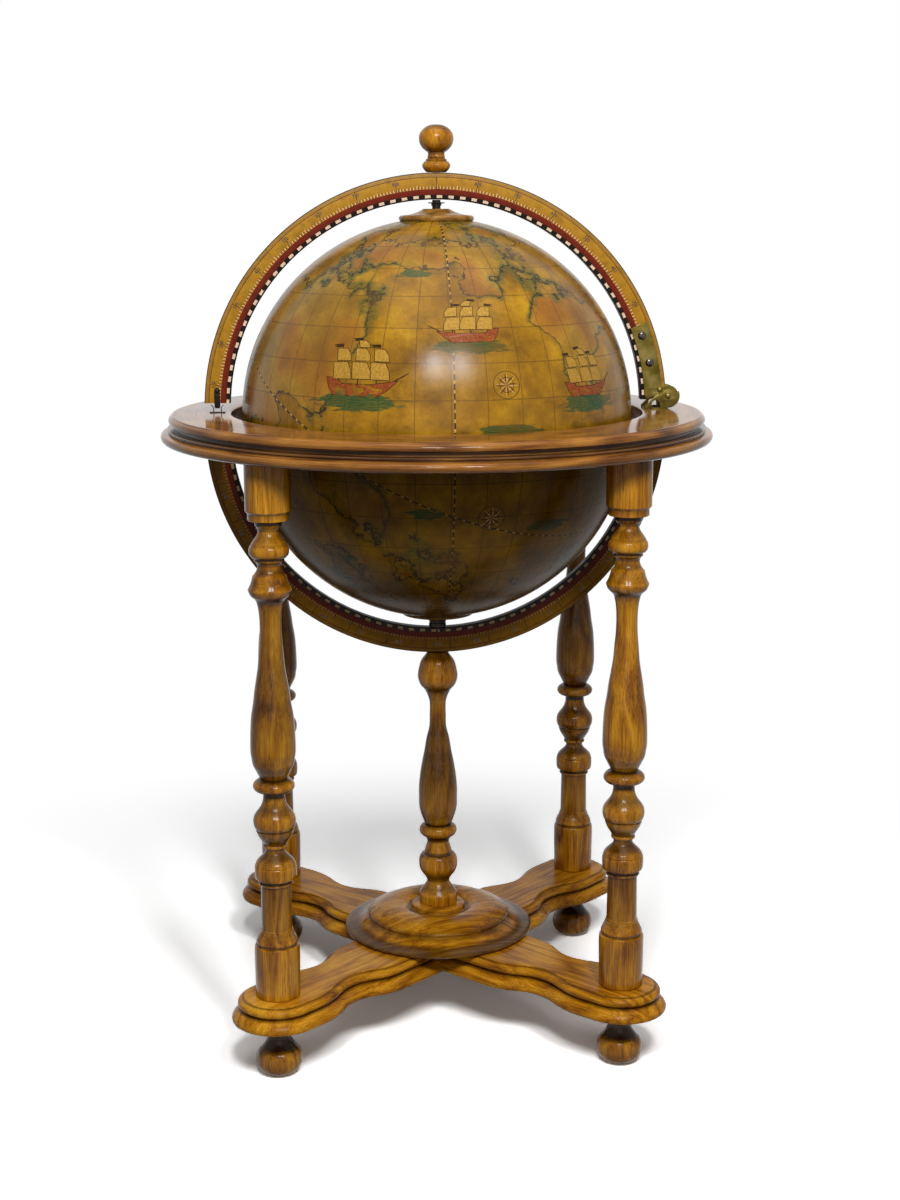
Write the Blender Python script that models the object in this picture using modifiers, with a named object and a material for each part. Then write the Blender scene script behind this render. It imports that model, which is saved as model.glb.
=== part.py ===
"""Globe bar: a globe on a turned stand, whose upper half lifts on a meridian hinge over a bar.

Metres, +Z up. The globe's axis is the Z axis, the floor is z = 0, the meridian stands in the XZ
plane with its hinge at +X, and the front of the stand faces -Y.
"""

import math

import bmesh
import bpy

# Overall sizes
GLOBE_RADIUS = 0.2000
GLOBE_WALL = 0.0040
TABLE_TOP_HEIGHT = 0.6455
BOWL_DROP = 0.0138
DOME_RISE = 0.0086
MERIDIAN_SPACE = 0.0113
MERIDIAN_WIDTH = 0.0265
MERIDIAN_THICKNESS = 0.0130
UPPER_MERIDIAN_RISE = 0.0067
UPPER_MERIDIAN_LIFT = 0.0100
LOWER_MERIDIAN_DROP = 0.0035

# Clearances
SEAT_GAP = 0.0003
RIVET_GAP = 0.0004
CUT_OVERRUN = 0.0100

# Table ring, in two tiers
TABLE_WIDTH = 0.0722
UPPER_TIER_SETBACK = 0.0090
UPPER_TIER_HEIGHT = 0.0132
LOWER_TIER_HEIGHT = 0.0137
TIER_GROOVE_DEPTH = 0.0065
TIER_GROOVE_HEIGHT = 0.0045
TIER_EDGE_ROUND = 0.0035
TIER_STEP = 0.0012

# Crossed base boards
BOARD_THICKNESS = 0.0255
BOARD_HALF_WIDTH = 0.0500
BOARD_WAIST_HALF_WIDTH = 0.0345
BOARD_LOBE_RADIUS = 0.0465
BOARD_TOP_INSET = 0.0120

# Bun feet
FOOT_HEIGHT = 0.0576
FOOT_RADIUS = 0.0222

# Turned legs, column, base disc and finial
LEG_OFFSET = 0.0322
LEG_RADIUS = 0.0220
COLUMN_RADIUS = 0.0212
DISC_RADIUS = 0.1010
DISC_HEIGHT = 0.0270
FINIAL_HEIGHT = 0.0468
FINIAL_RADIUS = 0.0174

# Caps and pivots at the poles
CAP_RADIUS = 0.0379
TOP_CAP_RIM_HEIGHT = 0.0058
TOP_BOSS_RADIUS = 0.0140
TOP_BOSS_HEIGHT = 0.0064
BOTTOM_CAP_RIM_HEIGHT = 0.0035
BOTTOM_BOSS_RADIUS = 0.0115
BOTTOM_BOSS_HEIGHT = 0.0060
PIVOT_RADIUS = 0.0043
PIVOT_ENGAGEMENT = 0.0060
WASHER_RADIUS = 0.0086
WASHER_HEIGHT = 0.0010
WASHER_DROP = 0.0025
COLLAR_RADIUS = 0.0090
COLLAR_DROP = 0.0005

# Rims, glass tray and bottle shelf inside the globe
RIM_WIDTH = 0.0140
RIM_LEDGE_WIDTH = 0.0070
DOME_RIM_HEIGHT = 0.0115
BOWL_RIM_HEIGHT = 0.0196
TRAY_THICKNESS = 0.0080
TRAY_DEPTH = 0.0034
TRAY_EDGE_WEB = 0.0165
TRAY_WELL_WEB = 0.0200
GLASS_HOLE_RADIUS = 0.0300
GLASS_COUNT = 6
SHELF_RADIUS = 0.12132364
SHELF_THICKNESS = 0.0060
SHELF_FINGER_RADIUS = 0.0120

# Lid hinge
HINGE_RISE = 0.0136
HINGE_OUTSET = 0.0014
BRASS_THICKNESS = 0.0020
LEAF_WIDTH = 0.0182
LEAF_INSET = 0.0037
LEAF_TOP_RISE = 0.0815
LEAF_FOOT_RISE = 0.0090
LEAF_CORNER_RADIUS = 0.0050
LEAF_LOBE_CLEARANCE = 0.0007
BRACKET_LOBE_MARGIN = 0.0010
BRACKET_NECK_CLEARANCE = 0.0007
BRACKET_REACH = 0.0246
BRACKET_SHOULDER_RISE = 0.0150
BRACKET_TIP_RISE = 0.0028
BRACKET_PLATE_THICKNESS = 0.0016
NOTCH_RADIUS = 0.0043
NOTCH_RISE = 0.0049
NOTCH_OFFSET = 0.0129
RIVET_RADIUS = 0.0022
RIVET_HEAD_RADIUS = 0.0030
RIVET_HEAD_HEIGHT = 0.0010
STOP_RADIUS = 0.0018
STOP_HEAD_RADIUS = 0.0028
STOP_DISTANCE = 0.0105

# Spring catch
TONGUE_WIDTH = 0.0058
TONGUE_RISE = 0.0160
TONGUE_DROP = 0.0050
FORK_CLEARANCE = 0.0005
FORK_LEAF_THICKNESS = 0.0008
FORK_BASE_WIDTH = 0.0160
FORK_BASE_THICKNESS = 0.0012
FORK_HEIGHT = 0.0082
FORK_FLARE = 0.0024
FORK_DEPTH = 0.0050

# Angles
STOP_RIVET_ANGLE = math.radians(143)
STOP_SHOULDER_ANGLE = math.radians(25)
BRACKET_NECK_ANGLE = math.radians(158)
LEAF_LOBE_START_ANGLE = math.radians(172)
LEAF_LOBE_END_ANGLE = math.radians(472)
BOARD_LOBE_ANGLE = math.radians(108)
INNER_FACET_ANGLE = math.radians(20)
SHARP_ANGLE = math.radians(35)

# Facet counts
GLOBE_STEPS = 32
TABLE_STEPS = 40
DISC_STEPS = 24
LEG_STEPS = 12
CAP_STEPS = 16
PIN_STEPS = 10
WELL_STEPS = 20
ARC_SEGMENTS = 36
LOBE_SEGMENTS = 8
SMALL_ARC_SEGMENTS = 5

# Turned profiles, top to bottom: share of the height, share of the radius
LEG_SHARES = (
    (1.000, 1.000), (0.911, 1.000), (0.909, 0.880), (0.896, 0.900), (0.893, 0.590),
    (0.877, 0.455), (0.857, 0.680), (0.842, 0.880), (0.832, 0.760), (0.829, 0.520),
    (0.824, 0.655), (0.810, 0.470), (0.789, 0.730), (0.770, 0.950), (0.757, 0.800),
    (0.744, 0.590), (0.718, 0.480), (0.680, 0.480), (0.600, 0.690), (0.540, 0.910),
    (0.490, 1.000), (0.450, 0.920), (0.423, 0.627), (0.417, 0.890), (0.393, 0.870),
    (0.386, 0.490), (0.376, 0.490), (0.354, 0.805), (0.338, 0.950), (0.328, 0.850),
    (0.305, 0.720), (0.282, 0.370), (0.265, 0.680), (0.250, 0.920), (0.223, 0.920),
    (0.212, 0.645), (0.131, 0.690), (0.103, 0.918), (0.098, 1.000), (0.000, 1.000),
)
COLUMN_SHARES = (
    (1.000, 0.515), (0.987, 0.635), (0.966, 0.825), (0.942, 0.930), (0.907, 1.000),
    (0.875, 0.896), (0.850, 0.640), (0.826, 0.470), (0.801, 0.410), (0.735, 0.410),
    (0.706, 0.445), (0.650, 0.610), (0.563, 0.811), (0.498, 0.943), (0.445, 0.980),
    (0.395, 0.962), (0.352, 0.840), (0.322, 0.670), (0.314, 0.860), (0.294, 0.958),
    (0.272, 0.830), (0.260, 0.590), (0.250, 0.547), (0.227, 0.642), (0.200, 0.717),
    (0.177, 0.962), (0.156, 0.980), (0.127, 0.873), (0.103, 0.642), (0.086, 0.566),
    (0.054, 0.849), (0.041, 0.962), (0.000, 0.962),
)
DISC_SHARES = (
    (1.000, 0.270), (0.930, 0.285), (0.800, 0.300), (0.840, 0.335), (0.970, 0.440),
    (0.930, 0.590), (0.760, 0.690), (0.660, 0.738), (0.560, 0.738), (0.420, 0.780),
    (0.230, 0.880), (0.120, 0.995), (0.000, 0.960),
)
FOOT_SHARES = (
    (1.000, 0.550), (0.780, 0.540), (0.620, 0.660), (0.490, 0.870), (0.370, 0.980),
    (0.270, 1.000), (0.150, 0.930), (0.060, 0.760), (0.000, 0.420),
)
FINIAL_SHARES = (
    (0.988, 0.300), (0.940, 0.610), (0.850, 0.880), (0.710, 1.000), (0.570, 0.890),
    (0.460, 0.640), (0.400, 0.490), (0.270, 0.480), (0.235, 0.640), (0.150, 0.820),
    (0.070, 0.760), (0.000, 0.550),
)

# Half outline of a base board's arm: share of the way from crotch to lobe centre, and share of
# the way from the waist's half width to the board's
ARM_SHARES = (
    (0.000, 1.000), (0.200, 1.000), (0.340, 0.960), (0.425, 0.760), (0.500, 0.300),
    (0.580, 0.000), (0.660, 0.060), (0.740, 0.360), (0.830, 0.760),
)
# Moulded edge of a board, bottom to top: share of the top inset, share of the thickness
BOARD_EDGE_SHARES = (
    (0.080, 0.000), (0.000, 0.130), (0.330, 0.480), (0.760, 0.560), (0.400, 0.720),
    (0.640, 0.920), (1.000, 1.000),
)

# Places worked out from the sizes above
BOWL_CENTRE_HEIGHT = TABLE_TOP_HEIGHT - BOWL_DROP
DOME_CENTRE_HEIGHT = BOWL_CENTRE_HEIGHT + DOME_RISE
PARTING_HEIGHT = (BOWL_CENTRE_HEIGHT + DOME_CENTRE_HEIGHT) / 2
INNER_GLOBE_RADIUS = GLOBE_RADIUS - GLOBE_WALL
SHELF_DEPTH = math.sqrt(INNER_GLOBE_RADIUS ** 2 - (SHELF_RADIUS + SEAT_GAP) ** 2)
MERIDIAN_INNER_RADIUS = GLOBE_RADIUS + MERIDIAN_SPACE
MERIDIAN_MID_RADIUS = MERIDIAN_INNER_RADIUS + MERIDIAN_WIDTH / 2
MERIDIAN_OUTER_RADIUS = MERIDIAN_INNER_RADIUS + MERIDIAN_WIDTH
UPPER_MERIDIAN_HEIGHT = DOME_CENTRE_HEIGHT + UPPER_MERIDIAN_RISE
LOWER_MERIDIAN_HEIGHT = BOWL_CENTRE_HEIGHT - LOWER_MERIDIAN_DROP
UPPER_MERIDIAN_END = TABLE_TOP_HEIGHT + UPPER_MERIDIAN_LIFT
TABLE_HOLE_RADIUS = GLOBE_RADIUS + MERIDIAN_SPACE
TABLE_RADIUS = TABLE_HOLE_RADIUS + TABLE_WIDTH
UPPER_TIER_RADIUS = TABLE_RADIUS - UPPER_TIER_SETBACK
TABLE_UNDERSIDE_HEIGHT = TABLE_TOP_HEIGHT - UPPER_TIER_HEIGHT - SEAT_GAP - LOWER_TIER_HEIGHT
TABLE_SEAT_HEIGHT = TABLE_TOP_HEIGHT + SEAT_GAP
LEG_CIRCLE_RADIUS = TABLE_HOLE_RADIUS + LEG_OFFSET
LEG_SPREAD = LEG_CIRCLE_RADIUS / math.sqrt(2)
BOARD_TOP_HEIGHT = FOOT_HEIGHT + BOARD_THICKNESS
LEG_BASE_HEIGHT = BOARD_TOP_HEIGHT + SEAT_GAP
LEG_HEIGHT = TABLE_UNDERSIDE_HEIGHT - SEAT_GAP - LEG_BASE_HEIGHT
DISC_BASE_HEIGHT = BOARD_TOP_HEIGHT + SEAT_GAP
COLUMN_BASE_HEIGHT = DISC_BASE_HEIGHT + DISC_HEIGHT + SEAT_GAP
HINGE_HEIGHT = TABLE_TOP_HEIGHT + HINGE_RISE
HINGE_REACH = MERIDIAN_OUTER_RADIUS + HINGE_OUTSET
LEAF_FACE = MERIDIAN_THICKNESS / 2 + SEAT_GAP
LEAF_LOBE_RADIUS = HINGE_RISE - SEAT_GAP - BRACKET_PLATE_THICKNESS - LEAF_LOBE_CLEARANCE
BRACKET_FACE = LEAF_FACE + BRASS_THICKNESS + SEAT_GAP
BRACKET_LOBE_RADIUS = LEAF_LOBE_RADIUS + BRACKET_LOBE_MARGIN
BRACKET_NECK_RADIUS = STOP_DISTANCE - STOP_HEAD_RADIUS - BRACKET_NECK_CLEARANCE


def named_collection(name):
    """A new collection under the scene's own."""
    collection = bpy.data.collections.new(name)
    bpy.context.scene.collection.children.link(collection)
    return collection


def clear_scene():
    """Start from an empty scene."""
    for obj in list(bpy.data.objects):
        bpy.data.objects.remove(obj, do_unlink=True)


clear_scene()
PARTS = named_collection("globe_bar")
CUTTERS = named_collection("globe_bar_cutters")


def finish(name, color, roughness, metallic):
    """A plain Principled material."""
    material = bpy.data.materials.new(name)
    material.use_nodes = True
    shader = material.node_tree.nodes["Principled BSDF"]
    shader.inputs["Base Color"].default_value = (*color, 1)
    shader.inputs["Roughness"].default_value = roughness
    shader.inputs["Metallic"].default_value = metallic
    return material


STAINED_WOOD = finish("stained_beech", (0.23, 0.10, 0.025), 0.28, 0)
TABLE_WOOD = finish("polished_table_beech", (0.21, 0.10, 0.03), 0.12, 0)
GLOBE_PRINT = finish("varnished_map_print", (0.47, 0.30, 0.08), 0.35, 0)
SCALE_PRINT = finish("printed_meridian_scale", (0.55, 0.36, 0.08), 0.4, 0)
INNER_WOOD = finish("bar_interior_wood", (0.30, 0.16, 0.06), 0.4, 0)
BRASS = finish("aged_brass", (0.35, 0.26, 0.09), 0.45, 1)
BLACK_IRON = finish("blackened_iron", (0.02, 0.018, 0.016), 0.45, 1)


def axis_empty(name, place, parent=None):
    """An empty on a joint's axis, which carries the pieces that move about it."""
    empty = bpy.data.objects.new(name, None)
    empty.location = place
    PARTS.objects.link(empty)
    carry(empty, parent)
    return empty


def carry(obj, parent):
    """Parent an object and keep it where it is."""
    if parent is None:
        return
    bpy.context.view_layer.update()
    obj.parent = parent
    obj.matrix_parent_inverse = parent.matrix_world.inverted()


def place(mesh, name, material, location=(0, 0, 0), turn=(0, 0, 0), parent=None):
    """Put a finished mesh in the parts collection as a named sub-part."""
    obj = bpy.data.objects.new(name, mesh)
    obj.location = location
    obj.rotation_euler = turn
    if material.name not in [slot.name for slot in mesh.materials if slot]:
        mesh.materials.append(material)
    PARTS.objects.link(obj)
    carry(obj, parent)
    return obj


def baked(source):
    """The evaluated mesh of an object, welded and shaded, and the object removed."""
    bpy.context.view_layer.update()
    evaluated = source.evaluated_get(bpy.context.evaluated_depsgraph_get())
    mesh = bpy.data.meshes.new_from_object(evaluated)
    work = bmesh.new()
    work.from_mesh(mesh)
    bmesh.ops.remove_doubles(work, verts=work.verts, dist=SEAT_GAP / 30)
    work.to_mesh(mesh)
    work.free()
    mesh.shade_smooth()
    mesh.set_sharp_from_angle(angle=SHARP_ANGLE)
    bpy.data.objects.remove(source, do_unlink=True)
    return mesh


def turned_mesh(profile, steps, closed=False):
    """Screw a profile of (radius, height) points, outer side top to bottom, round the Z axis."""
    mesh = bpy.data.meshes.new("profile")
    points = [(radius, 0, height) for radius, height in profile]
    edges = [(i, i + 1) for i in range(len(points) - 1)]
    if closed:
        edges.append((len(points) - 1, 0))
    mesh.from_pydata(points, edges, [])
    obj = bpy.data.objects.new("profile", mesh)
    PARTS.objects.link(obj)
    screw = obj.modifiers.new("Screw", "SCREW")
    screw.axis = "Z"
    screw.angle = 2 * math.pi
    screw.steps = steps
    screw.render_steps = steps
    screw.use_merge_vertices = True
    screw.merge_threshold = SEAT_GAP / 30
    return baked(obj)


def spindle(shares, height, radius):
    """A solid turned profile from a table of shares, closed on the axis at both ends."""
    outer = [(radius * r, height * h) for h, r in shares]
    return [(0, outer[0][1])] + outer + [(0, outer[-1][1])]


def arc(centre, radius, start, end, count):
    """Points of a circular arc, both ends included."""
    turns = [start + (end - start) * i / count for i in range(count + 1)]
    return [(centre[0] + radius * math.cos(a), centre[1] + radius * math.sin(a)) for a in turns]


def circle(centre, radius, count):
    """A closed ring of points."""
    return arc(centre, radius, 0, 2 * math.pi, count)[:-1]


def plate_mesh(outline, thickness, holes=()):
    """A flat plate in its own XY plane, centred on it, from a filled and extruded 2D curve."""
    curve = bpy.data.curves.new("outline", "CURVE")
    curve.dimensions = "2D"
    curve.fill_mode = "BOTH"
    curve.extrude = thickness / 2
    for ring in (outline, *holes):
        spline = curve.splines.new("POLY")
        spline.points.add(len(ring) - 1)
        for point, (x, y) in zip(spline.points, ring):
            point.co = (x, y, 0, 1)
        spline.use_cyclic_u = True
    obj = bpy.data.objects.new("outline", curve)
    PARTS.objects.link(obj)
    return baked(obj)


def upright(mesh, name, material, depth, parent=None):
    """Stand a plate in the XZ plane, its middle at a depth along Y."""
    return place(mesh, name, material, (0, depth, 0), (math.pi / 2, 0, 0), parent)


def hidden(name, mesh):
    """A shape that only a Boolean uses, in the cutters collection."""
    obj = bpy.data.objects.new(name, mesh)
    obj.hide_render = True
    obj.display_type = "WIRE"
    CUTTERS.objects.link(obj)
    return obj


def box_cutter(name, size, centre, turn=0):
    """A hidden box, its centre given in its own turned frame."""
    mesh = bpy.data.meshes.new(name)
    work = bmesh.new()
    bmesh.ops.create_cube(work, size=1)
    bmesh.ops.scale(work, vec=size, verts=work.verts)
    bmesh.ops.translate(work, vec=centre, verts=work.verts)
    work.to_mesh(mesh)
    work.free()
    obj = hidden(name, mesh)
    obj.rotation_euler = (0, 0, turn)
    return obj


def combine(obj, others, operation):
    """Boolean modifiers, one for each of the other objects."""
    for other in others:
        boolean = obj.modifiers.new(operation.title(), "BOOLEAN")
        boolean.operation = operation
        boolean.object = other


# Stand: feet and crossed boards

def corners():
    """The four corners of the stand, by name."""
    for depth_name, y in (("front", -LEG_SPREAD), ("rear", LEG_SPREAD)):
        for side_name, x in (("left", -LEG_SPREAD), ("right", LEG_SPREAD)):
            yield f"{depth_name}_{side_name}", x, y


def bun_feet():
    """Turned feet, flat where they rest."""
    mesh = turned_mesh(spindle(FOOT_SHARES, FOOT_HEIGHT - SEAT_GAP, FOOT_RADIUS), LEG_STEPS)
    for corner, x, y in corners():
        place(mesh, f"foot_{corner}", STAINED_WOOD, (x, y, 0))


def arm_outline():
    """One arm of the base, out along +X from crotch to lobe and back."""
    reach = LEG_CIRCLE_RADIUS - BOARD_HALF_WIDTH
    swell = BOARD_HALF_WIDTH - BOARD_WAIST_HALF_WIDTH
    side = [
        (BOARD_HALF_WIDTH + reach * along, BOARD_WAIST_HALF_WIDTH + swell * across)
        for along, across in ARM_SHARES
    ]
    lobe = arc((LEG_CIRCLE_RADIUS, 0), BOARD_LOBE_RADIUS, -BOARD_LOBE_ANGLE, BOARD_LOBE_ANGLE,
               LOBE_SEGMENTS)
    return [(x, -y) for x, y in side] + lobe + [(x, y) for x, y in reversed(side[1:])]


def inset(outline, distance):
    """Move each point of an anticlockwise outline inwards along its corner's bisector."""
    moved = []
    for i, (x, y) in enumerate(outline):
        before = outline[i - 1]
        after = outline[(i + 1) % len(outline)]
        normals = []
        for start, end in ((before, (x, y)), ((x, y), after)):
            length = math.dist(start, end)
            normals.append((-(end[1] - start[1]) / length, (end[0] - start[0]) / length))
        across = (normals[0][0] + normals[1][0], normals[0][1] + normals[1][1])
        spread = 1 + normals[0][0] * normals[1][0] + normals[0][1] * normals[1][1]
        moved.append((x + across[0] * distance / spread, y + across[1] * distance / spread))
    return moved


def moulded_cross():
    """The cross-shaped base with one moulded edge all round, as a loft of inset outlines."""
    outline = []
    for quarter in range(4):
        cosine, sine = math.cos(quarter * math.pi / 2), math.sin(quarter * math.pi / 2)
        outline += [(x * cosine - y * sine, x * sine + y * cosine) for x, y in arm_outline()]
    work = bmesh.new()
    rings = []
    for share, level in BOARD_EDGE_SHARES:
        ring = inset(outline, BOARD_TOP_INSET * share)
        rings.append([work.verts.new((x, y, BOARD_THICKNESS * level)) for x, y in ring])
    for lower, upper in zip(rings, rings[1:]):
        for i in range(len(lower)):
            j = (i + 1) % len(lower)
            work.faces.new((lower[i], lower[j], upper[j], upper[i]))
    work.faces.new(list(reversed(rings[0])))
    work.faces.new(rings[-1])
    mesh = bpy.data.meshes.new("cross")
    work.to_mesh(mesh)
    work.free()
    mesh.shade_smooth()
    mesh.set_sharp_from_angle(angle=SHARP_ANGLE)
    return mesh


def cross_boards():
    """Two boards, half-lapped where they cross: each is the cross less the other's arms."""
    span = 4 * LEG_SPREAD
    half_joint = SEAT_GAP / 2
    lap_width = 2 * (BOARD_HALF_WIDTH + half_joint)
    side_width = span / 2 - BOARD_HALF_WIDTH
    side_middle = BOARD_HALF_WIDTH + side_width / 2 - half_joint
    tall = BOARD_THICKNESS + 2 * CUT_OVERRUN
    lap_height = BOARD_THICKNESS / 2 + CUT_OVERRUN
    for name, turn, upper_cut in (
        ("cross_board_left_to_right", -math.pi / 4, True),
        ("cross_board_right_to_left", math.pi / 4, False),
    ):
        board = place(moulded_cross(), name, STAINED_WOOD, (0, 0, FOOT_HEIGHT), (0, 0, turn))
        cutters = []
        for side_name, side in (("near", -1), ("far", 1)):
            cutters.append(
                box_cutter(
                    f"{name}_{side_name}_arm",
                    (lap_width, side_width, tall),
                    (0, side * side_middle, FOOT_HEIGHT + BOARD_THICKNESS / 2),
                    turn,
                )
            )
        direction = 1 if upper_cut else -1
        lap_middle = BOARD_THICKNESS / 2 + direction * (lap_height / 2 - half_joint)
        cutters.append(
            box_cutter(
                f"{name}_lap",
                (lap_width, span, lap_height),
                (0, 0, FOOT_HEIGHT + lap_middle),
                turn,
            )
        )
        combine(board, cutters, "DIFFERENCE")


# Stand: turned parts and table

def turned_stand():
    """Base disc, centre column and four legs."""
    disc = turned_mesh(spindle(DISC_SHARES, DISC_HEIGHT, DISC_RADIUS), DISC_STEPS)
    place(disc, "base_disc", STAINED_WOOD, (0, 0, DISC_BASE_HEIGHT))
    column_top = LOWER_MERIDIAN_HEIGHT - MERIDIAN_OUTER_RADIUS - SEAT_GAP
    column_height = column_top - COLUMN_BASE_HEIGHT
    column = turned_mesh(spindle(COLUMN_SHARES, column_height, COLUMN_RADIUS), LEG_STEPS)
    place(column, "centre_column", STAINED_WOOD, (0, 0, COLUMN_BASE_HEIGHT))
    leg = turned_mesh(spindle(LEG_SHARES, LEG_HEIGHT, LEG_RADIUS), LEG_STEPS)
    for corner, x, y in corners():
        place(leg, f"leg_{corner}", STAINED_WOOD, (x, y, LEG_BASE_HEIGHT))


def table_ring():
    """Upper and lower tier of the table, with a deep groove between them."""
    groove_radius = UPPER_TIER_RADIUS - TIER_GROOVE_DEPTH
    quarter = math.pi / 2
    top = UPPER_TIER_HEIGHT
    ovolo_centre = (UPPER_TIER_RADIUS - TIER_EDGE_ROUND, top - TIER_STEP - TIER_EDGE_ROUND)
    upper = [(TABLE_HOLE_RADIUS, top), (UPPER_TIER_RADIUS - TIER_EDGE_ROUND, top)]
    upper += arc(ovolo_centre, TIER_EDGE_ROUND, quarter, 0, 2)
    upper += [(UPPER_TIER_RADIUS, TIER_GROOVE_HEIGHT), (groove_radius, TIER_GROOVE_HEIGHT)]
    upper += [(groove_radius, 0), (TABLE_HOLE_RADIUS, 0)]
    base = TABLE_TOP_HEIGHT - UPPER_TIER_HEIGHT
    mesh = turned_mesh(upper, TABLE_STEPS, closed=True)
    place(mesh, "table_ring_upper", TABLE_WOOD, (0, 0, base))

    half_round = LOWER_TIER_HEIGHT / 3
    torus_centre = (TABLE_RADIUS - half_round, half_round + TIER_STEP)
    cove = (UPPER_TIER_RADIUS, LOWER_TIER_HEIGHT - 2 * TIER_STEP)
    lower = [(TABLE_HOLE_RADIUS, LOWER_TIER_HEIGHT), (groove_radius, LOWER_TIER_HEIGHT)]
    lower += [(UPPER_TIER_RADIUS + TIER_STEP, LOWER_TIER_HEIGHT - TIER_STEP), cove]
    lower += arc(torus_centre, half_round, quarter, -quarter, 3)
    lower += [(torus_centre[0] - TIER_STEP, 0), (TABLE_HOLE_RADIUS, 0)]
    mesh = turned_mesh(lower, TABLE_STEPS, closed=True)
    place(mesh, "table_ring_lower", STAINED_WOOD, (0, 0, TABLE_UNDERSIDE_HEIGHT))


# Meridian arcs

def half_ring(centre_height, end_height):
    """Outline of a meridian arc that ends at a height, upwards or downwards from its centre."""
    upwards = 1 if end_height > centre_height else -1
    centre = (0, centre_height)
    outer_end = math.asin(abs(end_height - centre_height) / MERIDIAN_OUTER_RADIUS)
    inner_end = math.asin(abs(end_height - centre_height) / MERIDIAN_INNER_RADIUS)
    outer = arc(centre, MERIDIAN_OUTER_RADIUS, upwards * outer_end,
                upwards * (math.pi - outer_end), ARC_SEGMENTS)
    inner = arc(centre, MERIDIAN_INNER_RADIUS, upwards * (math.pi - inner_end),
                upwards * inner_end, ARC_SEGMENTS)
    return outer + inner


def pole_turn(pole):
    """Rotation that stands a piece on the north pole, or hangs it from the south pole."""
    return (0, 0, 0) if pole > 0 else (math.pi, 0, 0)


def globe_cap(name, centre, pole, rim_height, boss_radius, boss_height, parent):
    """Turned disc seated on a pole of the globe, bored for its pivot; pole is +1 or -1."""
    bore = PIVOT_RADIUS + RIVET_GAP
    seat = GLOBE_RADIUS + SEAT_GAP
    base = math.sqrt(seat ** 2 - CAP_RADIUS ** 2)
    middle = math.sqrt(seat ** 2 - (CAP_RADIUS / 2) ** 2)
    rim_top = base + rim_height
    boss_top = rim_top + boss_height
    rim_round = rim_height / 3
    boss_round = boss_height / 3
    profile = [
        (bore, boss_top), (boss_radius - boss_round, boss_top),
        (boss_radius, boss_top - boss_round), (CAP_RADIUS - rim_round, rim_top),
        (CAP_RADIUS, rim_top - rim_round), (CAP_RADIUS, base), (CAP_RADIUS / 2, middle),
        (bore, seat),
    ]
    mesh = turned_mesh(profile, CAP_STEPS, closed=True)
    place(mesh, name, STAINED_WOOD, (0, 0, centre), pole_turn(pole), parent)
    return boss_top


def pivot(name, centre, pole, top, tip, shoulder, parent):
    """Pin from the meridian's inner edge into a cap's bore, with a washer or collar on it."""
    radius, low, high = shoulder
    profile = [
        (0, top), (PIVOT_RADIUS, top), (PIVOT_RADIUS, high), (radius, high), (radius, low),
        (PIVOT_RADIUS, low), (PIVOT_RADIUS, tip), (0, tip),
    ]
    mesh = turned_mesh(profile, PIN_STEPS)
    place(mesh, name, BLACK_IRON, (0, 0, centre), pole_turn(pole), parent)


def caps_and_pivots(lid, dome_axis, bowl_axis):
    """A cap on each pole, and the pivots that the two globe halves turn on."""
    boss_top = globe_cap("dome_cap", DOME_CENTRE_HEIGHT, 1, TOP_CAP_RIM_HEIGHT,
                         TOP_BOSS_RADIUS, TOP_BOSS_HEIGHT, dome_axis)
    top = MERIDIAN_INNER_RADIUS + UPPER_MERIDIAN_RISE - SEAT_GAP
    washer_top = top - WASHER_DROP
    washer = (WASHER_RADIUS, washer_top - WASHER_HEIGHT, washer_top)
    pivot("dome_pivot", DOME_CENTRE_HEIGHT, 1, top, boss_top - PIVOT_ENGAGEMENT, washer, lid)

    boss_top = globe_cap("bowl_cap", BOWL_CENTRE_HEIGHT, -1, BOTTOM_CAP_RIM_HEIGHT,
                         BOTTOM_BOSS_RADIUS, BOTTOM_BOSS_HEIGHT, bowl_axis)
    top = MERIDIAN_INNER_RADIUS + LOWER_MERIDIAN_DROP - SEAT_GAP
    collar = (COLLAR_RADIUS, boss_top + SEAT_GAP, top - COLLAR_DROP)
    pivot("bowl_pivot", BOWL_CENTRE_HEIGHT, -1, top, boss_top - PIVOT_ENGAGEMENT, collar, None)


# Globe halves and what they hold

def wall_profile(rim_height, marks):
    """Half shell with a short straight band: outer arc down, inner arc back up through marks."""
    quarter = math.pi / 2
    outer = arc((0, 0), GLOBE_RADIUS, quarter, 0, GLOBE_STEPS // 4)
    band = [(GLOBE_RADIUS, -rim_height), (INNER_GLOBE_RADIUS, -rim_height)]
    angles = [0] + [math.asin(mark / INNER_GLOBE_RADIUS) for mark in marks] + [quarter]
    inner = [(INNER_GLOBE_RADIUS, 0)]
    for start, end in zip(angles, angles[1:]):
        count = max(1, round((end - start) / INNER_FACET_ANGLE))
        inner += arc((0, 0), INNER_GLOBE_RADIUS, start, end, count)[1:]
    outer[0] = (0, GLOBE_RADIUS)
    inner[-1] = (0, INNER_GLOBE_RADIUS)
    return outer + band + inner


def dome(parent):
    """Upper half of the globe with its wooden rim."""
    band = DOME_CENTRE_HEIGHT - PARTING_HEIGHT - SEAT_GAP / 2
    rim_mark = DOME_RIM_HEIGHT - band
    shell = turned_mesh(wall_profile(band, [rim_mark]), GLOBE_STEPS)
    centre = (0, 0, DOME_CENTRE_HEIGHT)
    place(shell, "dome_shell", GLOBE_PRINT, centre, parent=parent)
    outer = math.sqrt(INNER_GLOBE_RADIUS ** 2 - rim_mark ** 2) - SEAT_GAP
    inner = outer - RIM_WIDTH
    rim = [(inner, rim_mark), (outer, rim_mark), (outer, -band), (inner, -band)]
    mesh = turned_mesh(rim, GLOBE_STEPS, closed=True)
    place(mesh, "dome_rim", INNER_WOOD, centre, parent=parent)


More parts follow.
